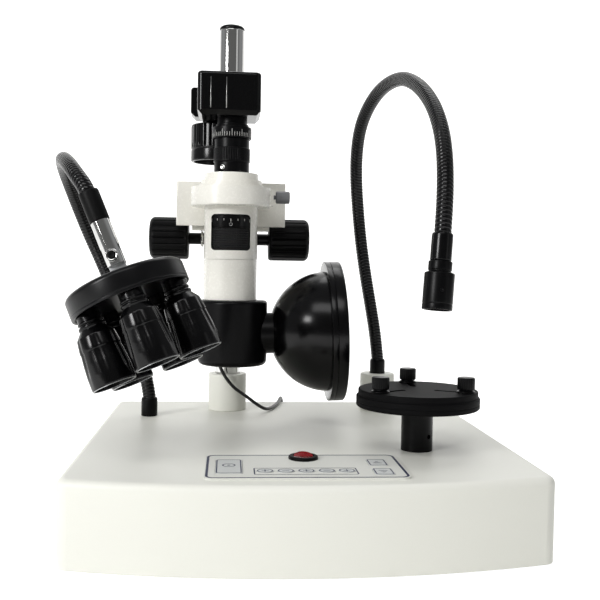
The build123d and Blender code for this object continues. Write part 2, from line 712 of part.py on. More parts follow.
# ---- zoom tube, zoom ring, nose barrel, objective ----
with BuildPart() as zoom_tube:
    turned((*scope, 0), (0, 0, 1), stepped(
        [(seam_z + part_gap, tube_radius), (ring_top, collar_radius), (collar_top, neck_radius)], neck_top))
    with BuildSketch(Plane.XY.offset(seam_z)):
        with Locations(scope):
            Circle(20)
    extrude(amount=zoom_ring_bottom - seam_z - 0.1, mode=Mode.SUBTRACT)
    with BuildSketch(Plane.XY.offset(zoom_ring_bottom - 0.1)):
        with Locations(scope):
            Circle(zoom_ring_radius + run_gap)
    extrude(amount=zoom_ring_top - zoom_ring_bottom + 0.2, mode=Mode.SUBTRACT)
    with BuildSketch(Plane.XY.offset(zoom_ring_top)):
        with Locations(scope):
            Circle(14)
    extrude(amount=neck_top - zoom_ring_top, mode=Mode.SUBTRACT)
    with BuildSketch(Plane.XZ.offset(-scope_y)):
        with Locations((scope_x, (window_bottom + window_top) / 2)):
            RectangleRounded(window_width, window_top - window_bottom, 3.5)
    extrude(amount=tube_radius + 2, mode=Mode.SUBTRACT)
zoom_tube.part.label = "zoom_tube"
export_step(zoom_tube.part, "parts/zoom_tube.step")

with BuildPart() as zoom_ring:
    turned((*scope, 0), (0, 0, 1), stepped([(zoom_ring_bottom, zoom_ring_radius)], zoom_ring_top, 20.3))
zoom_ring.part.label = "zoom_ring"
export_step(zoom_ring.part, "parts/zoom_ring.step")

lens_seat = 17.0
with BuildPart() as nose_barrel:
    turned((*scope, 0), (0, 0, 1), stepped(
        [(nose_bottom, tube_radius), (seam_z, 20 - run_gap)], seam_z + 4.5, lens_seat))
nose_barrel.part.label = "nose_barrel"
export_step(nose_barrel.part, "parts/nose_barrel.step")

with BuildPart() as objective_lens:
    with BuildSketch(axial_plane((*scope, 0), (0, 0, 1))):
        rim = lens_seat - run_gap
        with BuildLine():
            Polyline((0, 189), (rim, 191.5), (rim, 196), (0, 199.5), close=True)
        make_face()
    revolve(axis=Axis((*scope, 0), (0, 0, 1)))
objective_lens.part.label = "objective_lens"
export_step(objective_lens.part, "parts/objective_lens.step")

# ---- mirror housing, mirror, dome light ----
look_way = Vector(cos(radians(look_tilt)), 0, sin(radians(look_tilt)))
look_from = Vector(housing_x, scope_y, look_z)
dome_origin = look_from + look_way * look_neck_end
cavity_bottom, cavity_top = housing_bottom + housing_wall, housing_top - housing_wall
mirror_half = 1.5
wedge_sum = housing_x + look_z - mirror_half * sqrt(2) - 0.1
wedge_left = housing_x - housing_radius + 8

with BuildPart() as mirror_housing:
    with BuildSketch(Plane.XY.offset(housing_bottom)):
        with Locations((housing_x, scope_y)):
            Circle(housing_radius)
    extrude(amount=housing_top - housing_bottom)
    fillet(edges().group_by(Axis.Z)[0], 5)
    fillet(edges().group_by(Axis.Z)[-1], 3)
    turned(look_from, look_way, [(0, 20), (look_neck_radius, 20), (look_neck_radius, look_neck_end),
                                 (0, look_neck_end)])
    with BuildSketch(Plane.XY.offset(cavity_bottom)):
        with Locations((housing_x, scope_y)):
            Circle(housing_radius - housing_wall)
    extrude(amount=cavity_top - cavity_bottom, mode=Mode.SUBTRACT)
    turned(look_from, look_way, [(0, 10), (look_bore_radius, 10), (look_bore_radius, look_neck_end + 1),
                                 (0, look_neck_end + 1)], Mode.SUBTRACT)
    with BuildSketch(Plane.XY.offset(cavity_top - 1)):
        with Locations(scope):
            Circle(lens_seat)
    extrude(amount=housing_wall + 3, mode=Mode.SUBTRACT)
    with BuildSketch(Plane.XZ.offset(-scope_y)):
        with BuildLine():
            Polyline((wedge_left, cavity_bottom - 1), (wedge_sum - cavity_bottom + 1, cavity_bottom - 1),
                     (wedge_left, wedge_sum - wedge_left), close=True)
        make_face()
    extrude(amount=18, both=True)
mirror_housing.part.label = "mirror_housing"
export_step(mirror_housing.part, "parts/mirror_housing.step")

with BuildPart() as mirror:
    with BuildSketch(Plane(origin=(housing_x, scope_y, look_z), x_dir=(0, 1, 0), z_dir=(1, 0, 1))):
        RectangleRounded(34, 46, 3)
    extrude(amount=mirror_half, both=True)
mirror.part.label = "mirror"
export_step(mirror.part, "parts/mirror.step")

with BuildPart() as dome:
    hub_radius = sqrt(dome_radius**2 - dome_depth**2)
    inner_radius = dome_radius - dome_wall
    inner_start = dome_depth - sqrt(inner_radius**2 - look_bore_radius**2)
    mid = sin(radians(40))
    with BuildSketch(axial_plane(dome_origin, look_way)):
        with BuildLine():
            outer_mid = (dome_radius * sqrt(1 - mid**2), dome_depth - dome_radius * mid)
            inner_mid = (inner_radius * sqrt(1 - mid**2), dome_depth - inner_radius * mid)
            Line((look_bore_radius, 0), (hub_radius, 0))
            flange_start = (sqrt(dome_radius**2 - flange_back**2), dome_depth - flange_back)
            ThreePointArc((hub_radius, 0), outer_mid, flange_start)
            Polyline(flange_start, (rim_radius, dome_depth - flange_back), (rim_radius, dome_depth + 2),
                     (inner_radius, dome_depth + 2), (inner_radius, dome_depth))
            ThreePointArc((inner_radius, dome_depth), inner_mid, (look_bore_radius, inner_start))
            Line((look_bore_radius, inner_start), (look_bore_radius, 0))
        make_face()
    revolve(axis=Axis(dome_origin, look_way))
dome.part.label = "dome"
export_step(dome.part, "parts/dome.step")

rim_start, rim_end = dome_depth + 2, dome_depth + rim_depth
with BuildPart() as dome_rim:
    turned(dome_origin, look_way, [
        (rim_radius - 2.5, rim_start), (rim_radius, rim_start), (rim_radius, rim_end - 1),
        (rim_radius - 1, rim_end), (mouth_radius, rim_end), (mouth_radius, rim_end - 2),
        (rim_radius - 2.5, rim_end - 2)])
dome_rim.part.label = "dome_rim"
export_step(dome_rim.part, "parts/dome_rim.step")

with BuildPart() as dome_leds:
    board_start = rim_end - 2 - 1.6
    turned(dome_origin, look_way, [(mouth_radius + 2, board_start), (rim_radius - 3, board_start),
                                   (rim_radius - 3, rim_end - 2), (mouth_radius + 2, rim_end - 2)])
    led_radius = (mouth_radius + rim_radius) / 2 - 1.5
    with BuildSketch(Plane(origin=dome_origin + look_way * board_start, x_dir=(0, 1, 0), z_dir=look_way)):
        with PolarLocations(led_radius, led_count):
            Rectangle(3.5, 3.5)
    extrude(amount=-1.5)
dome_leds.part.label = "dome_leds"
export_step(dome_leds.part, "parts/dome_leds.step")

# ---- cameras ----
with BuildPart() as camera_adapter:
    turned((*scope, 0), (0, 0, 1), stepped(adapter_steps, adapter_top, adapter_bore))
camera_adapter.part.label = "camera_adapter"
export_step(camera_adapter.part, "parts/camera_adapter.step")

groove_bottom, groove_top = adapter_steps[3][0], adapter_steps[4][0]
with BuildPart() as focus_ring:
    turned((*scope, 0), (0, 0, 1), stepped(
        [(groove_bottom + 0.2, focus_ring_radius)], groove_top - 0.2, adapter_steps[3][1] + run_gap))
    with BuildSketch(Plane.XY.offset(groove_bottom)):
        with Locations(scope):
            with PolarLocations(focus_ring_radius + 0.1, 48):
                Rectangle(0.8, 1.1)
    extrude(amount=groove_top - groove_bottom, mode=Mode.SUBTRACT)
focus_ring.part.label = "focus_ring"
export_step(focus_ring.part, "parts/focus_ring.step")


def box_between(left, right, front, back, bottom, top):
    """Upright box in the open part between six faces."""
    with BuildSketch(Plane.XY.offset(bottom)) as section:
        with Locations(((left + right) / 2, (front + back) / 2)):
            Rectangle(right - left, back - front)
    extrude(section.sketch, amount=top - bottom)


with BuildPart() as camera:
    left, right, front, back, bottom, top = camera_box
    box_between(*camera_box)
    chamfer(edges().group_by(Axis.Z)[0], 4)
    fillet(edges().filter_by(Axis.Z), 5)
    fillet(edges().group_by(Axis.Z)[-1], 3)
    with BuildSketch(Plane.XZ.offset(-front)):
        with Locations((left + 12.3, (bottom + top) / 2 + 1), (left + 26.5, (bottom + top) / 2 + 1)):
            Rectangle(1.6, top - bottom - 10)
    extrude(amount=-0.8, mode=Mode.SUBTRACT)
    with BuildSketch(Plane.XY.offset(bottom + camera_wall)):
        with Locations(((left + right) / 2, (front + back) / 2)):
            Rectangle(right - left - 14, back - front - 12)
    extrude(amount=top - bottom - 2 * camera_wall, mode=Mode.SUBTRACT)
    with BuildSketch(Plane.XY.offset(bottom)):
        with Locations(scope):
            Circle(adapter_bore)
    extrude(amount=camera_wall + 1, mode=Mode.SUBTRACT)
camera.part.label = "camera"
export_step(camera.part, "parts/camera.step")

with BuildPart() as second_camera:
    box_between(*second_box)
    fillet(edges().filter_by(Axis.Z).sort_by(Axis.Y)[-2:], 6)
    chamfer(edges().group_by(Axis.Z)[0].sort_by(Axis.X)[0], 4)
    fillet(edges().group_by(Axis.Z)[-1].sort_by(Axis.X)[0], 3)
    with BuildSketch(Plane.XY.offset(second_lens_top)):
        with Locations(second_lens_centre):
            Circle(12)
    extrude(amount=second_box[4] - second_lens_top)
second_camera.part.label = "second_camera"
export_step(second_camera.part, "parts/second_camera.step")

with BuildPart() as second_lens:
    turned((*second_lens_centre, 0), (0, 0, 1), [
        (0, second_lens_top), (second_lens_radius - 1, second_lens_top),
        (second_lens_radius, second_lens_top - 1), (second_lens_radius, second_lens_bottom),
        (second_lens_radius - 3, second_lens_bottom), (second_lens_radius - 3, second_lens_bottom + 16),
        (12, second_lens_bottom + 22), (0, second_lens_bottom + 22)])
    with BuildSketch(Plane.XY.offset(second_lens_bottom + 12)):
        with Locations(second_lens_centre):
            with PolarLocations(second_lens_radius, flute_count):
                Circle(1.5)
    extrude(amount=second_lens_top - second_lens_bottom, mode=Mode.SUBTRACT)
second_lens.part.label = "second_lens"
export_step(second_lens.part, "parts/second_lens.step")

# ---- turntable ----
table = (table_x, table_y)
with BuildPart() as table_post:
    turned((*table, 0), (0, 0, 1), stepped([(deck_z, post_radius)], post_top))
    with BuildSketch(Plane.XY.offset(deck_z + 8)):
        with Locations(table):
            Circle(spindle_radius + run_gap)
    extrude(amount=post_top - deck_z, mode=Mode.SUBTRACT)
    with BuildSketch(Plane(origin=(*table, 80), x_dir=(0, 0, 1), z_dir=(0.6, -0.8, 0))):
        Circle(2)
    extrude(amount=post_radius + 1, mode=Mode.SUBTRACT)
table_post.part.label = "table_post"
export_step(table_post.part, "parts/table_post.step")

with BuildPart() as table_ring:
    turned((*table, 0), (0, 0, 1), [
        (0, deck_z + 9), (spindle_radius, deck_z + 9), (spindle_radius, post_top + 0.2), (10, post_top + 0.2),
        (10, table_bottom), (table_ring_radius - 1, table_bottom), (table_ring_radius, table_bottom + 1),
        (table_ring_radius, table_rim_top - 1), (table_ring_radius - 1, table_rim_top),
        (table_ring_radius - 4, table_rim_top), (table_ring_radius - 4, table_bottom + 2.5),
        (0, table_bottom + 2.5)])
table_ring.part.label = "table_ring"
export_step(table_ring.part, "parts/table_ring.step")

slot_half = clamp_stem_radius + 0.2
slot_inner = clamp_circle - clamp_travel - slot_half
slot_outer = clamp_circle + slot_half
with BuildPart() as table_plate:
    turned((*table, 0), (0, 0, 1), stepped([(table_rim_top, table_plate_radius)], table_top))
    fillet(edges().group_by(Axis.Z)[-1], 1)
    with BuildSketch(Plane.XY.offset(table_rim_top)):
        with Locations(table):
            with PolarLocations((slot_inner + slot_outer) / 2, 3, start_angle=clamp_phase):
                SlotOverall(slot_outer - slot_inner, 2 * slot_half)
    extrude(amount=table_top - table_rim_top, mode=Mode.SUBTRACT)
table_plate.part.label = "table_plate"
export_step(table_plate.part, "parts/table_plate.step")

for number in range(3):
    angle = radians(clamp_phase + 120 * number)
    foot = (table_x + clamp_circle * cos(angle), table_y + clamp_circle * sin(angle), 0)
    with BuildPart() as clamp:
        turned(foot, (0, 0, 1), [
            (0, table_rim_top - 3), (6, table_rim_top - 3), (6, table_rim_top - 0.2),
            (clamp_stem_radius, table_rim_top - 0.2), (clamp_stem_radius, table_top + 0.1),
            (7.5, table_top + 0.1), (7.5, table_top + 1.1), (5.5, table_top + 1.7), (5.5, table_top + 2.4),
            (6.5, table_top + 2.4), (7.1, table_top + 3), (7.1, table_top + 12), (6.5, table_top + 12.6),
            (0, table_top + 12.6)])
    clamp.part.label = f"clamp_{number + 1}"
    export_step(clamp.part, f"parts/clamp_{number + 1}.step")

# ---- spot light ----
with BuildPart() as spot_collar:
    turned((*spot_foot, 0), (0, 0, 1), stepped([(deck_z, spot_collar_radius)], spot_collar_top))
    chamfer(edges().group_by(Axis.Z)[-1], 1)
    with BuildSketch(Plane.XY.offset(spot_collar_top - 20)):
        with Locations(spot_foot):
            Circle(sleeve_radius + run_gap)
    extrude(amount=21, mode=Mode.SUBTRACT)
spot_collar.part.label = "spot_collar"
export_step(spot_collar.part, "parts/spot_collar.step")

spot_end = Vector(*spot_route[-1])
spot_way = (spot_end - Vector(*spot_route[-2])).normalized()
with BuildPart() as spot_neck:
    pipe(spot_route, neck_tube_radius)
    turned((*spot_foot, 0), (0, 0, 1), stepped([(spot_collar_top - 19.8, sleeve_radius)], 121))
    turned(spot_end, spot_way, [(0, -3), (sleeve_radius, -3), (sleeve_radius, 18), (4, 18), (4, 26), (0, 26)])
spot_neck.part.label = "spot_neck"
export_step(spot_neck.part, "parts/spot_neck.step")

with BuildPart() as spot_head:
    turned(spot_end, spot_way, [
        (4 + run_gap, 18.2), (8.8, 18.2), (8.8, 26), (spot_head_radius - 1, 27), (spot_head_radius, 28),
        (spot_head_radius, 54), (spot_head_radius - 1.6, 54), (spot_head_radius - 1.6, 36),
        (4 + run_gap, 36)])
spot_head.part.label = "spot_head"
export_step(spot_head.part, "parts/spot_head.step")

with BuildPart() as spot_lens:
    lens_radius = spot_head_radius - 1.6 - run_gap
    turned(spot_end, spot_way, [(0, 46), (lens_radius, 49), (lens_radius, 52), (0, 52)])
spot_lens.part.label = "spot_lens"
export_step(spot_lens.part, "parts/spot_lens.step")

# ---- lamp cluster ----
lean, nod = radians(cluster_lean), radians(cluster_nod)
down = Vector(sin(lean) * cos(nod), -sin(nod), -cos(lean) * cos(nod))
aside = Vector(cos(lean), 0, sin(lean))
hinge_way = down.cross(aside)
drum_top = Vector(*cluster_centre)
fork_top = drum_top - down * fork_rise
pivot = drum_top - down * pivot_rise

with BuildPart() as cluster_neck:
    pipe(cluster_route + [tuple(fork_top - down * fork_sleeve), tuple(fork_top - down * 1)], neck_tube_radius)
    turned((*cluster_foot, 0), (0, 0, 1), [
        (0, deck_under - 8), (neck_tube_radius - 1, deck_under - 8), (neck_tube_radius - 1, deck_z + 0.1),
        (sleeve_radius, deck_z + 0.1), (sleeve_radius, cluster_sleeve_top), (0, cluster_sleeve_top)])
    turned(fork_top, down, [(0, -1), (4, -1), (4, 10), (0, 10)])
    turned(fork_top, down, [
        (0, 2 - fork_sleeve), (sleeve_radius, 2 - fork_sleeve), (sleeve_radius, -0.1), (0, -0.1)])
cluster_neck.part.label = "cluster_neck"
export_step(cluster_neck.part, "parts/cluster_neck.step")

fork_plane = Plane(origin=pivot, x_dir=aside, z_dir=hinge_way)
with BuildPart() as knuckle_fork:
    turned(fork_top, down, [
        (4 + run_gap, 0), (fork_radius, 0), (fork_radius, fork_length), (0, fork_length), (0, 10.2),
        (4 + run_gap, 10.2)])
    with BuildSketch(fork_plane):
        Rectangle(4 * fork_radius, 2 * (tongue_radius + 1.2))
        with Locations((0, pivot_rise)):
            Rectangle(4 * fork_radius, 2 * pivot_rise)
        with Locations((0, -pivot_rise)):
            Rectangle(4 * fork_radius, 2 * pivot_rise)
        with Locations((0, pivot_rise + tongue_radius + 1.2), (0, -pivot_rise - tongue_radius - 1.2)):
            Rectangle(4 * fork_radius, 2 * pivot_rise, mode=Mode.SUBTRACT)
    extrude(amount=tongue_thickness / 2 + 0.1, both=True, mode=Mode.SUBTRACT)
    with BuildSketch(fork_plane):
        Circle(pivot_radius)
    extrude(amount=fork_radius + 0.8, both=True)
knuckle_fork.part.label = "knuckle_fork"
export_step(knuckle_fork.part, "parts/knuckle_fork.step")

with BuildPart() as cluster_drum:
    turned(drum_top, down, [
        (0, -3.5), (9.5, -3.5), (9.5, 0), (drum_radius - 2, 0), (drum_radius, 2), (drum_radius, drum_height),
        (drum_radius - 2.5, drum_height), (drum_radius - 2.5, 3), (0, 3)])
    turned(drum_top, down, [(0, drum_height - 5.5), (drum_radius - 1, drum_height - 5.5),
                            (drum_radius - 1, drum_height - 2.5), (0, drum_height - 2.5)])
    with BuildSketch(fork_plane):
        Circle(tongue_radius)
        with Locations((0, -(pivot_rise - 2) / 2) if hinge_way.cross(aside).dot(down) < 0
                       else (0, (pivot_rise - 2) / 2)):
            Rectangle(2 * tongue_radius, pivot_rise - 2)
    extrude(amount=tongue_thickness / 2, both=True)
    with BuildSketch(fork_plane):
        Circle(pivot_radius + run_gap)
    extrude(amount=tongue_thickness, both=True, mode=Mode.SUBTRACT)
cluster_drum.part.label = "cluster_drum"
export_step(cluster_drum.part, "parts/cluster_drum.step")

lamp_spots = []
for number in range(lamp_count):
    angle = radians(lamp_phase - 360 / lamp_count * number)
    lamp_spots.append(drum_top + aside * (lamp_circle * cos(angle)) + hinge_way * (lamp_circle * sin(angle)))

lamp_start = drum_height - 2.4
with BuildPart() as lamps:
    for spot in lamp_spots:
        turned(spot, down, [
            (0, lamp_start), (9, lamp_start), (9, 24), (10.4, 25), (10.4, 27.5), (9.8, 28.5), (14.2, 34),
            (15.4, 42), (lamp_radius, lamp_end - 10), (lamp_radius, lamp_end), (lamp_radius - 1.8, lamp_end),
            (lamp_radius - 1.8, lamp_end - 8.5), (6, lamp_end - 22), (0, lamp_end - 22)])
lamps.part.label = "lamps"
export_step(lamps.part, "parts/lamps.step")

with BuildPart() as lamp_lenses:
    for spot in lamp_spots:
        glass = lamp_radius - 1.8 - run_gap
        turned(spot, down, [
            (0, lamp_end - 5), (glass, lamp_end - 5), (glass, lamp_end - 2.5), (0, lamp_end - 2.5)])
lamp_lenses.part.label = "lamp_lenses"
export_step(lamp_lenses.part, "parts/lamp_lenses.step")

# ---- lead from the arm to the back of the base ----
with BuildPart() as lead:
    lead_radii = pipe(lead_route, lead_radius)
lead.part.label = "lead"
export_step(lead.part, "parts/lead.step")
print("lead bend radii:", [round(radius, 1) for radius in lead_radii])
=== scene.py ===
"""Looks of a video microscope on a lit bench stand: turned, moulded and ribbed pieces round its frame."""
from math import asin, cos, pi, radians, sin, tau

import bmesh
import bpy
from mathutils import Matrix, Vector


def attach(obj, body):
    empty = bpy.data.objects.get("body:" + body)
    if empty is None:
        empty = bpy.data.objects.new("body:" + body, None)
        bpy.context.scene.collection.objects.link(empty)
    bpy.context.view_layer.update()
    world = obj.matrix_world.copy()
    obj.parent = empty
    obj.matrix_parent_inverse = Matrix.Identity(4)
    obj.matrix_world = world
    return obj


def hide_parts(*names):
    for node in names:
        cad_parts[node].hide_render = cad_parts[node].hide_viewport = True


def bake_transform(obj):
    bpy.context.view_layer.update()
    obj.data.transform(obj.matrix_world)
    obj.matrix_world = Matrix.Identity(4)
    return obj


bl_info = {
    "name": "Bench video microscope",
    "version": (1, 0, 0),
    "blender": (4, 5, 0),
    "location": "View3D > Sidebar > Microscope",
    "description": "Builds the visible pieces and finishes of a bench video microscope",
    "category": "Add Mesh",
}

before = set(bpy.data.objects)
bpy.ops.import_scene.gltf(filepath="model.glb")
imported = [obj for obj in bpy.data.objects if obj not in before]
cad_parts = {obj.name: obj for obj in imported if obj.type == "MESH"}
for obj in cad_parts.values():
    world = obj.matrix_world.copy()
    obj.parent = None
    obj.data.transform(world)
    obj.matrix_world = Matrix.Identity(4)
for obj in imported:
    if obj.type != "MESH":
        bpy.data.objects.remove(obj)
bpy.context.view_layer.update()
MM = 0.001

# ---- places that the pieces are built from, in millimetres ----
SCOPE = (-60, 37, 0)
PILLAR = (-61.2, 122, 0)
TABLE = (96, -78, 0)
SPOT_FOOT = (98, 125, 0)
CLUSTER_FOOT = (-138, 80, 0)
SECOND_LENS = (-74, 80, 0)
UP = Vector((0, 0, 1))
FOCUS_Y, FOCUS_Z = 98, 244.3
LOOK_TILT = radians(2.4)
LOOK = Vector((cos(LOOK_TILT), 0, sin(LOOK_TILT)))
DOME = Vector((-57, 37, 152.8)) + LOOK * 38.2
LEAN, NOD = radians(23.2), radians(10.3)
DOWN = Vector((sin(LEAN) * cos(NOD), -sin(NOD), -cos(LEAN) * cos(NOD)))
ASIDE = Vector((cos(LEAN), 0, sin(LEAN)))
HINGE = DOWN.cross(ASIDE)
DRUM = Vector((-141, -115, 205))
FORK = DRUM - DOWN * 48.5
PIVOT = DRUM - DOWN * 19.5
LAMP_COUNT, LAMP_CIRCLE, FIRST_LAMP = 5, 35.2, 81
CLAMP_COUNT, CLAMP_CIRCLE = 3, 40.4
LEAD_RADIUS = 1.7
SPOT_ROUTE = [
    (98, 125, 120), (95.4, 125, 145), (89.6, 126, 177), (82.8, 127, 214), (77.8, 128, 247), (73.8, 127, 282),
    (70.8, 122, 310), (68.8, 110, 334), (68.8, 92, 357), (72.8, 70, 375), (80.8, 38, 389), (90.8, -5, 390),
    (96.8, -48, 375), (100.8, -85, 353), (101.8, -112, 329), (100.8, -130, 306), (98.8, -142, 283),
    (96.8, -149, 260), (95.2, -151.2, 241),
]
SPOT_END = Vector(SPOT_ROUTE[-1])
SPOT_WAY = (SPOT_END - Vector(SPOT_ROUTE[-2])).normalized()
CLUSTER_ROUTE = [
    (-138, 80, 85), (-139.6, 80.5, 98), (-146, 82.5, 120.5), (-158.5, 85, 152), (-172.5, 86, 186.5),
    (-186, 84, 219), (-197, 78, 245), (-205.5, 66, 270), (-210.5, 48, 290), (-211, 22, 302),
    (-206.5, -10, 306.5), (-199.5, -42, 304), (-190, -71, 296.5), (-180.5, -91, 286),
    tuple(FORK - DOWN * 28), tuple(FORK - DOWN * 1),
]
LEAD_ROUTE = [
    (-78, 100, 209), (-78, 100, 187), (-77.5, 99.5, 162), (-75.5, 97, 137), (-69.4, 95, 114),
    (-57, 94.5, 95), (-42, 95, 85), (-31, 94.5, 76.5), (-22, 99.5, 70.6), (-15.5, 114, 69.6),
    (-9, 136, 69.5), (-4.5, 158, 70.6), (-1.5, 176, 72), (1, 191, 63), (2, 193, 51), (2, 188, 40),
    (2, 175.4, 38),
]
PANEL_TOP = 69.0
PANEL_BOX = (-77, 71, -178, -104)
INK_HEIGHT = 0.04
OVAL_KEYS = [-33.2, -18.1, -3.1, 11.9, 26.6]


class MicroscopeSizes(bpy.types.PropertyGroup):
    """Sizes of the detail that the pieces carry."""
    rib_pitch: bpy.props.FloatProperty(
        name="Hose rib pitch", description="Distance between the ribs of the goosenecks, in millimetres",
        default=3.2, min=2.0, max=6.0)
    rib_depth: bpy.props.FloatProperty(
        name="Hose rib depth", description="Depth of the groove between two ribs, in millimetres",
        default=0.55, min=0.1, max=1.5)
    knob_flutes: bpy.props.IntProperty(
        name="Knob flutes", description="Grip flutes around each focus knob", default=20, min=8, max=40)
    turn_steps: bpy.props.IntProperty(
        name="Steps per turn", description="Facets around a turned piece", default=128, min=32, max=256)


class MicroscopeColours(bpy.types.PropertyGroup):
    """Colours of the main finishes, as sRGB hex values."""
    coat: bpy.props.StringProperty(name="Base coat", description="Warm white of the base", default="#EEEEE6")
    enamel: bpy.props.StringProperty(
        name="Enamel", description="Cream white of the castings", default="#F0EEE6")
    black: bpy.props.StringProperty(name="Black", description="Black of the plastics", default="#030304")
    ink: bpy.props.StringProperty(name="Panel ink", description="Navy of the printed lines", default="#15204A")
    rocker: bpy.props.StringProperty(name="Rocker", description="Red of the power rocker", default="#8E0F18")


# ---- finishes ----
def linear(code):
    """Linear colour with alpha from an sRGB hex value."""
    channels = [int(code[i:i + 2], 16) / 255 for i in (1, 3, 5)]
    return [c / 12.92 if c <= 0.04045 else ((c + 0.055) / 1.055) ** 2.4 for c in channels] + [1.0]


def add_node(tree, kind, links=(), **settings):
    """Adds a node. A setting is one of its attributes, or the value of its input of that name."""
    node = tree.nodes.new(kind)
    for name, value in settings.items():
        if hasattr(node, name):
            setattr(node, name, value)
        else:
            node.inputs[name.replace("_", " ")].default_value = value
    for source, socket in links:
        tree.links.new(source, node.inputs[socket])
    return node


def finish_of(name, tones, roughness, grain_mm, relief_mm=0.0, stretch=(1, 1, 1), detail=4.0, **sockets):
    """Material with two close tones, a span of roughness and a fine relief, from one grain of real size."""
    material = bpy.data.materials.new(name)
    material.use_nodes = True
    tree = material.node_tree
    tree.nodes.clear()
    place = add_node(tree, "ShaderNodeTexCoord")
    spread = add_node(tree, "ShaderNodeMapping", [(place.outputs["Object"], "Vector")], Scale=stretch)
    grain = add_node(tree, "ShaderNodeTexNoise", [(spread.outputs["Vector"], "Vector")],
                     Scale=1 / (grain_mm * MM), Detail=detail, Roughness=0.55)
    tone = add_node(tree, "ShaderNodeMix", [(grain.outputs["Fac"], "Factor")], data_type="RGBA")
    tone.inputs[6].default_value, tone.inputs[7].default_value = linear(tones[0]), linear(tones[1])
    rough = add_node(tree, "ShaderNodeMapRange", [(grain.outputs["Fac"], "Value")],
                     To_Min=roughness[0], To_Max=roughness[1])
    shader = add_node(tree, "ShaderNodeBsdfPrincipled",
                      [(tone.outputs[2], "Base Color"), (rough.outputs["Result"], "Roughness")], **sockets)
    if relief_mm:
        bump = add_node(tree, "ShaderNodeBump", [(grain.outputs["Fac"], "Height")],
                        Strength=1.0, Distance=relief_mm * MM)
        tree.links.new(bump.outputs["Normal"], shader.inputs["Normal"])
    add_node(tree, "ShaderNodeOutputMaterial", [(shader.outputs["BSDF"], "Surface")])
    return material


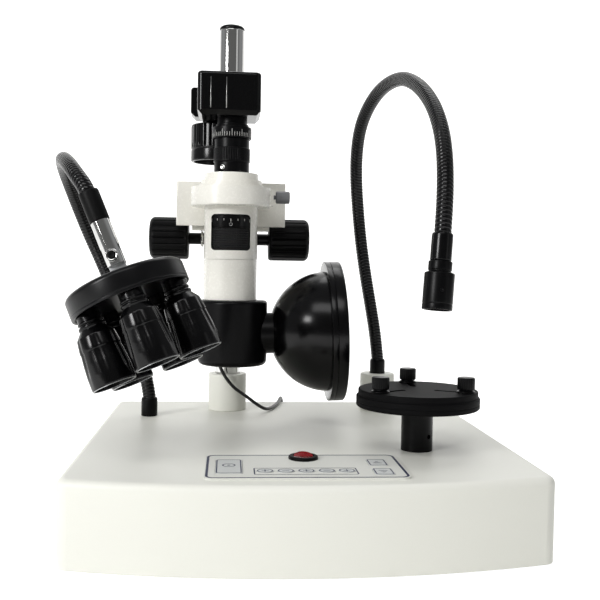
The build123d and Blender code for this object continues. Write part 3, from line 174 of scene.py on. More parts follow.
def make_finishes():
    """All finishes by name. Each comment says what the real one gives the eye."""
    colours = bpy.context.scene.microscope_colours
    return {
        # powder coat on sheet steel: warm white, soft sheen, a faint orange peel about 0.8 mm across
        "powder_coat": finish_of("powder_coated_steel", (colours.coat, "#EAEAE1"), (0.38, 0.5), 0.8, 0.012,
                                 Specular_IOR_Level=0.4),
        # stoved enamel on cast aluminium: cream, glossier than powder coat, smooth with slow ripples
        "enamel": finish_of("stoved_enamel", (colours.enamel, "#EEECE4"), (0.24, 0.3), 2.5, 0.0015,
                            Coat_Weight=0.3, Coat_Roughness=0.12),
        # moulded ABS, polished tool: deep black with a wet shine and slight sink waves
        "gloss_abs": finish_of("polished_black_abs", (colours.black, "#050506"), (0.18, 0.23), 6.0, 0.003,
                               Specular_IOR_Level=0.22),
        # moulded ABS, sparked tool: dull black, fine texture about 0.3 mm drawn at 0.5 mm to show
        "matt_abs": finish_of("sparked_black_abs", ("#040404", "#070708"), (0.4, 0.52), 0.5, 0.012,
                              Specular_IOR_Level=0.1),
        # black anodised aluminium: satin, with turning lines round the axis
        "anodised": finish_of("black_anodised_aluminium", ("#030304", "#060607"), (0.28, 0.38), 0.5, 0.003,
                              stretch=(0.05, 0.05, 1.0), Specular_IOR_Level=0.12),
        # black anodised over bead blasting: dead matt at low angles
        "blasted_black": finish_of("blasted_black_aluminium", ("#040405", "#080809"), (0.6, 0.7), 0.5, 0.012,
                                   Specular_IOR_Level=0.08),
        # black anodised over fine turned rings on a wide face: a broad soft streak across them
        "turned_black": finish_of("turned_black_aluminium", ("#040405", "#08080A"), (0.26, 0.34), 0.4, 0.004,
                                  stretch=(1, 1, 0.05), Specular_IOR_Level=0.2),
        # black oxide on steel strip and on milled grips: hard small glints on every rib
        "hose_black": finish_of("black_oxide_steel_strip", ("#030304", "#060607"), (0.16, 0.24), 1.2, 0.006,
                                Specular_IOR_Level=0.26),
        # polished chromium plate: mirror with hairline wiping marks along the bar
        "chrome": finish_of("polished_chromium_plate", ("#CFCFCD", "#C2C2C1"), (0.05, 0.10), 0.25, 0.0,
                            stretch=(1, 1, 0.03), Metallic=1.0),
        # bright zinc-plated steel: paler, duller than chrome
        "zinc": finish_of("zinc_plated_steel", ("#B9BABB", "#A4A6A8"), (0.28, 0.42), 0.6, 0.005, Metallic=1.0),
        # stainless steel, turned: grey with fine lines
        "steel": finish_of("turned_stainless_steel", ("#B4B4B2", "#9B9B9A"), (0.22, 0.34), 0.3, 0.004,
                           stretch=(1, 0.05, 0.05), Metallic=1.0),
        # machined brass: warm yellow, fine milling lines
        "brass": finish_of("machined_brass", ("#C9A659", "#B08C45"), (0.24, 0.36), 0.5, 0.005, Metallic=1.0),
        # nitrile rubber: flat black, no shine
        "rubber": finish_of("nitrile_rubber", ("#101010", "#191918"), (0.75, 0.9), 0.9, 0.02),
        # grey thermoplastic grip: mid grey, fine sparked texture
        "grey_grip": finish_of("grey_nylon", ("#5C5D5F", "#6A6B6D"), (0.42, 0.55), 0.6, 0.015),
        # polyester overlay, reverse printed: the deck's warm white under a clear satin film
        "overlay": finish_of("printed_polyester_film", ("#E4E4DD", "#DEDFD9"), (0.45, 0.55), 3.0, 0.003,
                             Specular_IOR_Level=0.3),
        # the same film embossed over the keys: a step greyer
        "key_film": finish_of("embossed_polyester_film", ("#D5D7D5", "#CFD2D1"), (0.4, 0.5), 2.0, 0.004,
                              Specular_IOR_Level=0.3),
        # screen ink: flat navy
        "ink": finish_of("navy_screen_ink", (colours.ink, "#111A3C"), (0.5, 0.6), 0.4),
        # white engraving filler: flat off-white
        "engraving": finish_of("white_engraving_paint", ("#D8D8D4", "#C9C9C5"), (0.5, 0.65), 0.3),
        # clear red polycarbonate over a lamp: deep red with a bright skin
        "rocker_red": finish_of("red_polycarbonate", (colours.rocker, "#A3121C"), (0.08, 0.14), 4.0,
                                Transmission_Weight=0.25, IOR=1.58, Coat_Weight=0.5),
        # matt white barium paint inside the dome: even, dusty white
        "dome_white": finish_of("barium_white_paint", ("#E9E9E6", "#DFDFDB"), (0.8, 0.95), 0.7, 0.02),
        # optical glass with a faint blue bloom
        "glass": finish_of("coated_optical_glass", ("#E6ECF5", "#DDE6F3"), (0.02, 0.04), 8.0,
                           Transmission_Weight=0.95, IOR=1.52),
        # front-silvered glass
        "mirror": finish_of("silvered_glass", ("#F2F2F2", "#ECECEC"), (0.02, 0.03), 5.0, Metallic=1.0),
        # soldered circuit board: green lacquer over copper
        "board": finish_of("green_solder_mask", ("#14502B", "#1A6235"), (0.3, 0.45), 1.5, 0.02),
        # soft PVC jacket: black, slightly waxy
        "jacket": finish_of("black_pvc_jacket", ("#060606", "#0C0C0C"), (0.35, 0.5), 1.0, 0.01),
    }


finishes = {}


def paint(piece, finish):
    """Gives a piece or a CAD node one finish."""
    piece.data.materials.clear()
    piece.data.materials.append(finishes[finish])
    return piece


def crisp(piece, angle=32):
    """Smooth shading that breaks at edges sharper than the angle."""
    mesh = piece.data
    mesh.polygons.foreach_set("use_smooth", [True] * len(mesh.polygons))
    work = bmesh.new()
    work.from_mesh(mesh)
    sharp = [len(e.link_faces) != 2 or e.calc_face_angle(0) > radians(angle) for e in work.edges]
    work.free()
    mesh.edges.foreach_set("use_edge_sharp", sharp)
    return piece


def new_piece(name, mesh, body, finish, nodes=()):
    """Puts a mesh in the scene, on its body, with its finish, in place of CAD nodes."""
    piece = bpy.data.objects.new(name, mesh)
    bpy.context.scene.collection.objects.link(piece)
    paint(piece, finish)
    crisp(piece)
    if body:
        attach(piece, body)
    if nodes:
        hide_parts(*nodes)
    return piece


def keep_nodes(finish, *nodes):
    """Gives CAD nodes whose shape is right their finish."""
    for node in nodes:
        crisp(paint(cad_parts[node], finish))


# ---- shapes ----
def mesh_from(work, name):
    """Mesh from an edit in progress, which ends with it."""
    mesh = bpy.data.meshes.new(name)
    work.to_mesh(mesh)
    work.free()
    return mesh


def on_scope(height):
    """Place on the zoom tube's axis."""
    return (SCOPE[0], SCOPE[1], height)


def across(way):
    """Two directions square to an axis."""
    way = Vector(way).normalized()
    seed = UP if abs(way.z) < 0.9 else Vector((1, 0, 0))
    first = way.cross(seed).normalized()
    return first, way.cross(first)


def softened(outline, radius, steps=3):
    """Outline with its inner corners rounded by up to the radius."""
    points = [Vector(p) for p in outline]
    soft = [points[0]]
    for before, corner, after in zip(points, points[1:], points[2:]):
        back, on = before - corner, after - corner
        cut = min(radius, 0.45 * back.length, 0.45 * on.length)
        start, end = corner + back.normalized() * cut, corner + on.normalized() * cut
        for step in range(steps + 1):
            t = step / steps
            soft.append(start * (1 - t) ** 2 + corner * (2 * t * (1 - t)) + end * t * t)
    return soft + [points[-1]]


def turned_mesh(name, origin, way, outline, ripple=None, steps=None, closed=False):
    """Turned mesh from (radius, distance along) points. ripple(angle, along, radius) gives a new radius."""
    steps = steps or bpy.context.scene.microscope_sizes.turn_steps
    way = Vector(way).normalized()
    first, second = across(way)
    work = bmesh.new()
    rings = []
    for radius, along in outline:
        middle = (Vector(origin) + way * along) * MM
        if radius < 1e-6:
            rings.append([work.verts.new(middle)])
            continue
        ring = []
        for step in range(steps):
            angle = tau * step / steps
            reach = ripple(angle, along, radius) if ripple else radius
            ring.append(work.verts.new(middle + (first * cos(angle) + second * sin(angle)) * (reach * MM)))
        rings.append(ring)
    pairs = list(zip(rings, rings[1:])) + ([(rings[-1], rings[0])] if closed else [])
    for low, high in pairs:
        for step in range(steps):
            after = (step + 1) % steps
            corners = [low[step % len(low)], low[after % len(low)],
                       high[after % len(high)], high[step % len(high)]]
            kept = list(dict.fromkeys(corners))
            if len(kept) > 2:
                work.faces.new(kept)
    bmesh.ops.recalc_face_normals(work, faces=work.faces)
    return mesh_from(work, name)


def merged(name, meshes):
    """One mesh from several, which are then removed."""
    work = bmesh.new()
    for mesh in meshes:
        work.from_mesh(mesh)
        bpy.data.meshes.remove(mesh)
    return mesh_from(work, name)


def block_mesh(name, centre, size, turn=None, bevel=0.0):
    """Box with bevelled edges, sizes in millimetres, turned by a 3x3 matrix."""
    work = bmesh.new()
    bmesh.ops.create_cube(work, size=1.0)
    bmesh.ops.scale(work, vec=Vector(size) * MM, verts=work.verts)
    if bevel:
        bmesh.ops.bevel(work, geom=list(work.edges), offset=bevel * MM, segments=3, profile=0.6,
                        affect="EDGES")
    if turn:
        bmesh.ops.transform(work, matrix=turn.to_4x4(), verts=work.verts)
    bmesh.ops.translate(work, vec=Vector(centre) * MM, verts=work.verts)
    return mesh_from(work, name)


def smooth_route(points):
    """Points along the smooth curve that a route gives, in metres."""
    data = bpy.data.curves.new("route", "CURVE")
    data.dimensions = "3D"
    spline = data.splines.new("NURBS")
    spline.points.add(len(points) - 1)
    for spot, point in zip(spline.points, points):
        spot.co = (*(Vector(point) * MM), 1.0)
    spline.order_u = 3
    spline.use_endpoint_u = True
    spline.resolution_u = 16
    carrier = bpy.data.objects.new("route", data)
    bpy.context.scene.collection.objects.link(carrier)
    bpy.context.view_layer.update()
    line = bpy.data.meshes.new_from_object(carrier)
    places = [v.co.copy() for v in line.vertices]
    bpy.data.objects.remove(carrier)
    bpy.data.meshes.remove(line)
    bpy.data.curves.remove(data)
    return places


def evenly(places, step):
    """Places at even steps along a line of places, all in metres, with the way along it at each."""
    lengths = [0.0]
    for one, two in zip(places, places[1:]):
        lengths.append(lengths[-1] + (two - one).length)
    count = max(2, round(lengths[-1] / step))
    result, index = [], 0
    for number in range(count + 1):
        goal = lengths[-1] * number / count
        while index < len(lengths) - 2 and lengths[index + 1] < goal:
            index += 1
        share = (goal - lengths[index]) / max(1e-9, lengths[index + 1] - lengths[index])
        result.append(places[index].lerp(places[index + 1], share))
    ways = [(result[min(i + 1, count)] - result[max(i - 1, 0)]).normalized() for i in range(count + 1)]
    return result, ways, lengths[-1]


def hose_mesh(name, places, radius_at, step, sides=28):
    """Tube along places in metres. radius_at(distance in mm, angle) gives its radius in millimetres."""
    line, ways, length = evenly(places, step)
    first, second = across(ways[0])
    work = bmesh.new()
    rings = []
    for number, (spot, way) in enumerate(zip(line, ways)):
        first = (first - way * first.dot(way)).normalized()
        second = way.cross(first)
        along = length / MM * number / (len(line) - 1)
        rings.append([
            work.verts.new(spot + (first * cos(tau * s / sides) + second * sin(tau * s / sides))
                           * (radius_at(along, tau * s / sides) * MM))
            for s in range(sides)
        ])
    for low, high in zip(rings, rings[1:]):
        for s in range(sides):
            work.faces.new([low[s], low[(s + 1) % sides], high[(s + 1) % sides], high[s]])
    work.faces.new(rings[0])
    work.faces.new(rings[-1])
    bmesh.ops.recalc_face_normals(work, faces=work.faces)
    return mesh_from(work, name)


def outline_ring(name, centre, size, corner, width, height, z):
    """Flat printed frame with rounded corners."""
    work = bmesh.new()
    loops = []
    for inset in (0.0, width):
        loop = []
        half = (size[0] / 2 - inset, size[1] / 2 - inset)
        radius = max(0.05, corner - inset)
        for quarter, (sx, sy) in enumerate(((1, 1), (-1, 1), (-1, -1), (1, -1))):
            for step in range(9):
                angle = pi / 2 * (quarter + step / 8)
                x = centre[0] + sx * (half[0] - radius) + radius * cos(angle)
                y = centre[1] + sy * (half[1] - radius) + radius * sin(angle)
                loop.append(work.verts.new(Vector((x, y, z + height)) * MM))
        loops.append(loop)
    count = len(loops[0])
    for i in range(count):
        after = (i + 1) % count
        work.faces.new([loops[0][i], loops[0][after], loops[1][after], loops[1][i]])
    return mesh_from(work, name)


# ---- pieces ----
class StageOperator(bpy.types.Operator):
    """Camera, lights, floor and finishes."""
    bl_idname = "microscope.stage"
    bl_label = "Stage and finishes"

    def execute(self, context):
        scene = context.scene
        finishes.update(make_finishes())
        camera = bpy.data.objects.new("camera_view", bpy.data.cameras.new("camera_view"))
        scene.collection.objects.link(camera)
        yaw, pitch, roll = 0.0845, 0.0385, 0.017
        ahead = Vector((sin(yaw), cos(yaw), 0)) * cos(pitch) - UP * sin(pitch)
        right = Vector((cos(yaw), -sin(yaw), 0))
        upward = right.cross(ahead)
        right, upward = right * cos(roll) + upward * sin(roll), upward * cos(roll) - right * sin(roll)
        camera.matrix_world = Matrix.Translation((-0.0615, -0.7665, 0.217)) @ Matrix(
            (right, upward, -ahead)).transposed().to_4x4()
        camera.data.lens = 50.88
        camera.data.sensor_width = 36
        camera.data.clip_start = 0.05
        scene.camera = camera
        scene.view_settings.view_transform = "Standard"
        self.add_floor(scene)
        self.add_lights(scene)
        return {"FINISHED"}

    def add_floor(self, scene):
        """Pale bench top and backdrop in one swept sheet."""
        work = bmesh.new()
        profile = [(-2.2, 0.0), (0.9, 0.0)]
        profile += [(0.9 + 0.6 * sin(a), 0.6 - 0.6 * cos(a)) for a in [pi / 2 * i / 12 for i in range(1, 13)]]
        profile += [(1.5, 2.4)]
        rows = [[work.verts.new((x, y, z)) for y, z in profile] for x in (-2.6, 2.6)]
        for i in range(len(profile) - 1):
            work.faces.new([rows[0][i], rows[1][i], rows[1][i + 1], rows[0][i + 1]])
        mesh = mesh_from(work, "bench_sweep")
        sweep = bpy.data.objects.new("bench_sweep", mesh)
        scene.collection.objects.link(sweep)
        material = bpy.data.materials.new("white_paper_sweep")
        material.use_nodes = True
        tree = material.node_tree
        tree.nodes.clear()
        # matt white paper: takes the object's shadow, and reads as plain white to the eye and in reflections
        paper = add_node(tree, "ShaderNodeBsdfDiffuse", Color=linear("#F4F4F2"))
        glow = add_node(tree, "ShaderNodeEmission", Color=(1, 1, 1, 1), Strength=0.86)
        rays = add_node(tree, "ShaderNodeLightPath")
        seen = add_node(tree, "ShaderNodeMath", [(rays.outputs["Is Camera Ray"], 0),
                                                (rays.outputs["Is Glossy Ray"], 1)], operation="MAXIMUM")
        seen = add_node(tree, "ShaderNodeMath", [(seen.outputs[0], 0),
                                                (rays.outputs["Is Transmission Ray"], 1)], operation="MAXIMUM")
        none = add_node(tree, "ShaderNodeEmission", Strength=0.0)
        white = add_node(tree, "ShaderNodeMixShader", [(seen.outputs[0], "Fac"), (none.outputs[0], 1),
                                                      (glow.outputs[0], 2)])
        both = add_node(tree, "ShaderNodeAddShader", [(paper.outputs[0], 0), (white.outputs[0], 1)])
        add_node(tree, "ShaderNodeOutputMaterial", [(both.outputs[0], "Surface")])
        mesh.materials.append(material)

    def add_lights(self, scene):
        """Soft boxes: the main one front left, one over the front, a weak one right, one over the back."""
        for name, place, aim, size, power in (
            ("main_box", (-1.45, -1.25, 0.82), (-0.02, 0, 0.17), (0.4, 0.6), 22),
            ("front_box", (-0.35, -1.1, 1.5), (-0.03, 0, 0.25), (1.3, 0.5), 9),
            ("right_box", (1.3, -1.1, 0.6), (0, 0, 0.2), (0.4, 1.2), 1.0),
            ("top_box", (0.3, 0.6, 1.45), (0.05, 0.12, 0.1), (0.9, 0.5), 4),
        ):
            data = bpy.data.lights.new(name, "AREA")
            data.shape = "RECTANGLE"
            data.size, data.size_y = size
            data.energy = power
            lamp = bpy.data.objects.new(name, data)
            lamp.location = place
            lamp.rotation_euler = (Vector(aim) - Vector(place)).to_track_quat("-Z", "Y").to_euler()
            scene.collection.objects.link(lamp)
        world = bpy.data.worlds.new("studio")
        world.use_nodes = True
        tree = world.node_tree
        tree.nodes.clear()
        # a pale room that is dimmer on the front side, as it is behind studio lamps
        way = add_node(tree, "ShaderNodeTexCoord")
        split = add_node(tree, "ShaderNodeSeparateXYZ", [(way.outputs["Generated"], 0)])
        dim = add_node(tree, "ShaderNodeMapRange", [(split.outputs["Y"], 0)], interpolation_type="SMOOTHSTEP",
                       From_Min=-0.1, From_Max=-0.7)
        room = add_node(tree, "ShaderNodeMixRGB", [(dim.outputs[0], 0)], Color1=linear("#F2F3F5"),
                        Color2=linear("#B0B0AF"))
        back = add_node(tree, "ShaderNodeBackground", [(room.outputs[0], "Color")], Strength=0.38)
        white = add_node(tree, "ShaderNodeBackground", Color=(1, 1, 1, 1), Strength=1.0)
        rays = add_node(tree, "ShaderNodeLightPath")
        mixed = add_node(tree, "ShaderNodeMixShader", [(rays.outputs["Is Camera Ray"], "Fac"),
                                                      (back.outputs[0], 1), (white.outputs[0], 2)])
        add_node(tree, "ShaderNodeOutputWorld", [(mixed.outputs[0], "Surface")])
        scene.world = world


class LeadOperator(bpy.types.Operator):
    """Thin lead from the arm down to the deck and over the rear edge."""
    bl_idname = "microscope.lead"
    bl_label = "Lead"

    def execute(self, context):
        places = smooth_route(LEAD_ROUTE)
        mesh = hose_mesh("lead_jacket", places, lambda along, angle: LEAD_RADIUS, 0.0015, 20)
        lead = new_piece("lead_jacket", mesh, None, "jacket", ["lead"])
        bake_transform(lead)
        return {"FINISHED"}


class HoseOperator(bpy.types.Operator):
    """The two goosenecks: spiral steel hose between smooth sleeves."""
    bl_idname = "microscope.goosenecks"
    bl_label = "Goosenecks"

    def execute(self, context):
        sizes = context.scene.microscope_sizes

        def ribbed(along, angle):
            turn = (along / sizes.rib_pitch + angle / tau) % 1.0
            return 6.45 - sizes.rib_depth * (abs(2 * turn - 1) ** 5)

        for name, route, node in (("spot_hose", SPOT_ROUTE, "spot_neck"),
                                  ("cluster_hose", CLUSTER_ROUTE, "cluster_neck")):
            mesh = hose_mesh(name, smooth_route(route), ribbed, sizes.rib_pitch * MM / 8, 24)
            new_piece(name, mesh, node, "hose_black", [node])
        foot = [(0, 86.3), (7.95, 86.3), (7.95, 119), (7.1, 121), (6.2, 121)]
        head = [(5.9, -3), (7.3, -2.9), (7.95, -1.8), (7.95, 17.4), (7.2, 18), (4, 18), (4, 26), (0, 26)]
        low = [(5.4, 56.6), (5.4, 67.7), (7.95, 67.7), (7.95, 84.5), (7.0, 86), (6.0, 86)]
        fork = [(6.0, -26), (7.6, -25.6), (7.95, -24), (7.95, -0.5), (7.4, -0.1), (4, -0.1), (4, 10), (0, 10)]
        for name, origin, way, outline, radius, node, finish in (
            ("spot_foot_sleeve", SPOT_FOOT, UP, foot, 0.8, "spot_neck", "anodised"),
            ("spot_head_sleeve", SPOT_END, SPOT_WAY, head, 0.5, "spot_neck", "gloss_abs"),
            ("cluster_foot_sleeve", CLUSTER_FOOT, UP, low, 0.6, "cluster_neck", "anodised"),
            ("cluster_fork_sleeve", FORK, DOWN, fork, 0.5, "cluster_neck", "matt_abs"),
        ):
            sleeve = turned_mesh("sleeve", origin, way, softened(outline, radius))
            new_piece(name, sleeve, node, finish)
        return {"FINISHED"}


class SpotOperator(bpy.types.Operator):
    """Spot lamp head with its lens and two set screws."""
    bl_idname = "microscope.spot"
    bl_label = "Spot lamp"

    def execute(self, context):
        outline = softened([(4.1, 18.2), (8.8, 18.2), (8.8, 24.6), (8.3, 25), (8.3, 25.8), (11.2, 27),
                            (11.2, 49.2), (10.9, 49.6), (11.2, 50), (11.2, 54), (9.7, 54), (9.7, 37), (5, 36),
                            (0, 36)], 0.5)
        head = [turned_mesh("head", SPOT_END, SPOT_WAY, outline)]
        screw = softened([(0, 9.9), (1.5, 9.9), (1.5, 11.9), (0.6, 11.9), (0, 11.3)], 0.3)
        out = across(SPOT_WAY)[0]
        for side in (out, -out):
            head.append(turned_mesh("screw", SPOT_END + SPOT_WAY * 40, side, screw, steps=24))
        new_piece("spot_lamp_head", merged("head", head), "spot_head", "anodised",
                  ["spot_head"])
        keep_nodes("glass", "spot_lens")
        return {"FINISHED"}


class ClusterOperator(bpy.types.Operator):
    """Drum with five lamps, their lenses and the chrome knuckle."""
    bl_idname = "microscope.cluster"
    bl_label = "Lamp cluster"

    def execute(self, context):
        outline = softened([(0, -3.5), (9.5, -3.5), (9.5, 0), (44, 0), (46.5, 2.5), (46.5, 14.8),
                            (46.0, 15.2), (46.5, 15.6), (46.5, 17.6), (44, 17.6), (44, 15.1), (0, 15.1)],
                           1.6, 5)
        new_piece("drum_shell", turned_mesh("drum", DRUM, DOWN, outline, steps=192), "cluster",
                  "turned_black", ["cluster_drum"])
        tongue = [block_mesh("tongue", PIVOT + DOWN * 8.4, (12.6, 6, 16.8),
                             Matrix((ASIDE, HINGE, DOWN)).transposed(), 0.6),
                  turned_mesh("eye", PIVOT - HINGE * 3, HINGE, softened(
                      [(2.6, 0), (6.4, 0), (6.4, 6), (2.6, 6), (2.6, 0)], 0.5), steps=64)]
        new_piece("drum_tongue", merged("tongue", tongue), "cluster", "zinc")
        bodies, lenses, highlight_lips = [], [], []
        for number in range(LAMP_COUNT):
            angle = radians(FIRST_LAMP - 360 / LAMP_COUNT * number)
            spot = DRUM + ASIDE * (LAMP_CIRCLE * cos(angle)) + HINGE * (LAMP_CIRCLE * sin(angle))
            outline = softened([(0, 15.2), (9, 15.2), (9, 22.4), (9.8, 23), (9.8, 24.2), (8.8, 24.7),
                                (8.8, 25.3), (10.4, 26), (10.4, 27.6), (9.8, 28.4), (14.2, 34), (15.4, 42),
                                (15.6, 44), (15.2, 44.8), (16.2, 54), (16.8, 62.8), (16.8, 71.9), (16.2, 72.8),
                                (15.0, 72.8), (15.0, 64.3), (6, 50.8), (0, 50.8)], 0.7)

            def scalloped(angle, along, radius):
                if not 30 < along < 69 or radius < 10:
                    return radius
                swell = sin(pi * (along - 30) / 39)
                return radius - 1.1 * swell * max(0.0, cos(6 * angle)) ** 3

            bodies.append(turned_mesh("lamp", spot, DOWN, outline, scalloped, 120))
            lenses.append(turned_mesh("lens", spot, DOWN, softened(
                [(0, 67.8), (8, 68.1), (14.6, 68.9), (14.9, 69.3), (14.9, 70.3), (0, 70.3)], 0.3), steps=96))
            # a thin pale zinc lip round each lamp's mouth: a painted highlight, standing for the glint on the
            # edge of the black rim
            highlight_lips.append(turned_mesh("lip", spot, DOWN, [
                (15.1, 72.6), (16.3, 72.6), (16.3, 73.0), (15.1, 73.0), (15.1, 72.6)], steps=96))
        new_piece("lamp_lip_highlights", merged("highlight_lips", highlight_lips), "cluster", "zinc")
        new_piece("lamp_bodies", merged("lamps", bodies), "cluster", "gloss_abs",
                  ["lamps"])
        new_piece("lamp_glasses", merged("lenses", lenses), "cluster", "glass", ["lamp_lenses"])
        keep_nodes("chrome", "knuckle_fork")
        bush = softened([(3.4, 5.6), (4.9, 5.6), (4.9, 8.4), (4.4, 9.0), (3.4, 8.8), (3.4, 5.6)], 0.2)
        new_piece("fork_bush", turned_mesh("bush", PIVOT, HINGE, bush, steps=64), "fork", "chrome")
        head = softened([(0, 5.6), (3.3, 5.6), (3.3, 8.4), (2.6, 8.7), (1.5, 8.7), (1.3, 8.35), (0, 8.35)],
                        0.2)
        new_piece("fork_screw", turned_mesh("screw", PIVOT, HINGE, head, steps=48), "fork", "matt_abs")
        return {"FINISHED"}


class BaseOperator(bpy.types.Operator):
    """Base housing, its plate, feet, fasteners and rear sockets."""
    bl_idname = "microscope.base"
    bl_label = "Base"

    def execute(self, context):
        keep_nodes("powder_coat", "base_shell")
        keep_nodes("zinc", "base_plate", "base_screws", "power_supply")
        keep_nodes("rubber", "rubber_feet")
        keep_nodes("board", "key_board")
        keep_nodes("matt_abs", "rear_sockets")
        return {"FINISHED"}


class PanelOperator(bpy.types.Operator):
    """Control panel film, its printed lines, keys and the power rocker."""
    bl_idname = "microscope.control_panel"
    bl_label = "Control panel"

    def execute(self, context):
        keep_nodes("overlay", "control_panel")
        left, right, front, back = PANEL_BOX
        middle = ((left + right) / 2, (front + back) / 2)
        size = (right - left - 1.6, back - front - 1.6)
        prints = [
            outline_ring("frame", middle, size, 6.5, 1.9, INK_HEIGHT, PANEL_TOP),
            outline_ring("row", (-3.5, -158), (76, 20), 2, 1.0, INK_HEIGHT, PANEL_TOP),
        ]
        new_piece("panel_print", merged("panel_print", prints), "base", "ink")
        keep_nodes("key_film", "mode_key", "up_key", "down_key", *[f"oval_key_{i}" for i in range(1, 6)])
        self.add_key_prints()
        keep_nodes("matt_abs", "rocker_bezel")
        keep_nodes("rocker_red", "rocker")
        return {"FINISHED"}

    def add_key_prints(self):
        """Border and a plain mark on each key."""
        top = PANEL_TOP + 0.4
        jobs = [("mode_key", (-59.4, -143.3), (18.6, 42.2), 2.2), ("up_key", (53.2, -132), (13.4, 18.9), 2),
                ("down_key", (53.2, -160.5), (13.4, 17.9), 2)]
        jobs += [(f"oval_key_{i + 1}", (x, -157.5), (11.6, 9.8), 4.6) for i, x in enumerate(OVAL_KEYS)]
        for name, centre, size, corner in jobs:
            marks = [outline_ring("edge", centre, size, corner, 0.9, INK_HEIGHT, top)]
            if name == "mode_key":
                hub = (centre[0], centre[1] + 3)
                marks.append(outline_ring("ring", hub, (10, 10), 5, 1.0, INK_HEIGHT, top))
                marks.append(outline_ring("dot", hub, (2.4, 2.4), 1.2, 1.15, INK_HEIGHT, top))
            elif name in ("up_key", "down_key"):
                way = 1 if name == "up_key" else -1
                for step, width in enumerate((7.0, 4.6, 2.2)):
                    marks.append(outline_ring("bar", (centre[0], centre[1] + way * (step - 1) * 2.4),
                                              (width, 0.9), 0.4, 0.44, INK_HEIGHT, top))
            else:
                marks.append(outline_ring("bar", centre, (5.2, 0.9), 0.4, 0.44, INK_HEIGHT, top))
                if int(name[-1]) % 2:
                    marks.append(outline_ring("bar", centre, (0.9, 5.2), 0.4, 0.44, 0.06, top))
            new_piece(name + "_print", merged("print", marks), name, "ink")


class PillarOperator(bpy.types.Operator):
    """Chrome pillar with its cap, socket and the other deck collars."""
    bl_idname = "microscope.pillar"
    bl_label = "Pillar"

    def execute(self, context):
        tube = softened([(11, 27), (11, 459.3), (12.5, 459.3), (13, 458.7), (13, 7), (4.2, 7), (4.2, 27),
                         (11, 27)], 0.4)
        new_piece("pillar_bar", turned_mesh("pillar", PILLAR, UP, tube), "base", "chrome",
                  ["pillar"])
        cap = softened([(0, 447.5), (10.9, 447.5), (10.9, 459.3), (13, 459.3), (13, 461.6), (11.5, 463.2),
                        (8.5, 464.3), (0, 464.3)], 1.2)
        new_piece("pillar_end_cap", turned_mesh("cap", PILLAR, UP, cap), "base", "gloss_abs",
                  ["pillar_cap"])
        for name, place, outline, node in (
            ("pillar_foot", PILLAR, [(13.1, 67.6), (19.5, 67.6), (19.5, 105), (18.5, 105.5), (13.1, 105.5)],
             "pillar_socket"),
            ("spot_foot", SPOT_FOOT, [(0, 67.6), (18, 67.6), (18, 105), (17, 106), (8.1, 106), (8.1, 86),
                                      (0, 86)], "spot_collar"),
        ):
            foot = turned_mesh(name, place, UP, softened(outline, 0.9))
            new_piece(name, foot, "base", "powder_coat", [node])
        return {"FINISHED"}


class FocusOperator(bpy.types.Operator):
    """Pillar clamp, focus slide and knobs."""
    bl_idname = "microscope.focus"
    bl_label = "Focus unit"

    def execute(self, context):
        keep_nodes("enamel", "arm_clamp", "carriage", "scope_ring")
        keep_nodes("matt_abs", "arm_bush", "arm_knob")
        keep_nodes("anodised", "pinion_shaft")
        keep_nodes("brass", "focus_rack")
        keep_nodes("grey_grip", "ring_screw")
        flutes = context.scene.microscope_sizes.knob_flutes
        knobs = []
        for start, way, length in ((-102, -1, 38.5), (-21.6, 1, 40.6)):

            def grip(angle, along, radius):
                if radius < 17 or not 2.2 < along < length - 3:
                    return radius
                groove = max(0.0, cos(flutes * angle)) ** 4
                fade = min(1.0, (along - 2.2) / 2, (length - 3 - along) / 2)
                return radius - 1.1 * groove * fade

            outline = softened([(4.1, 0), (19.6, 0), (21, 1.4), (21, 4), (21, 8), (21, length - 9),
                                (21, length - 5), (20.6, length - 3), (18.6, length - 0.8), (16.2, length),
                                (15.4, length - 0.7), (0, length - 0.7)], 0.8)
            knobs.append(turned_mesh("knob", (start, FOCUS_Y, FOCUS_Z), (way, 0, 0), outline, grip,
                                     flutes * 12))
        new_piece("focus_grips", merged("knobs", knobs), "focus_drive", "matt_abs",
                  ["focus_knobs"])
        washer = softened([(6.0, 0), (9, 0), (9, 2.2), (6.0, 2.2)], 0.3)
        new_piece("shaft_washer", turned_mesh("washer", (-89.5, FOCUS_Y, FOCUS_Z), (1, 0, 0), washer),
                  "focus_drive", "chrome")
        return {"FINISHED"}


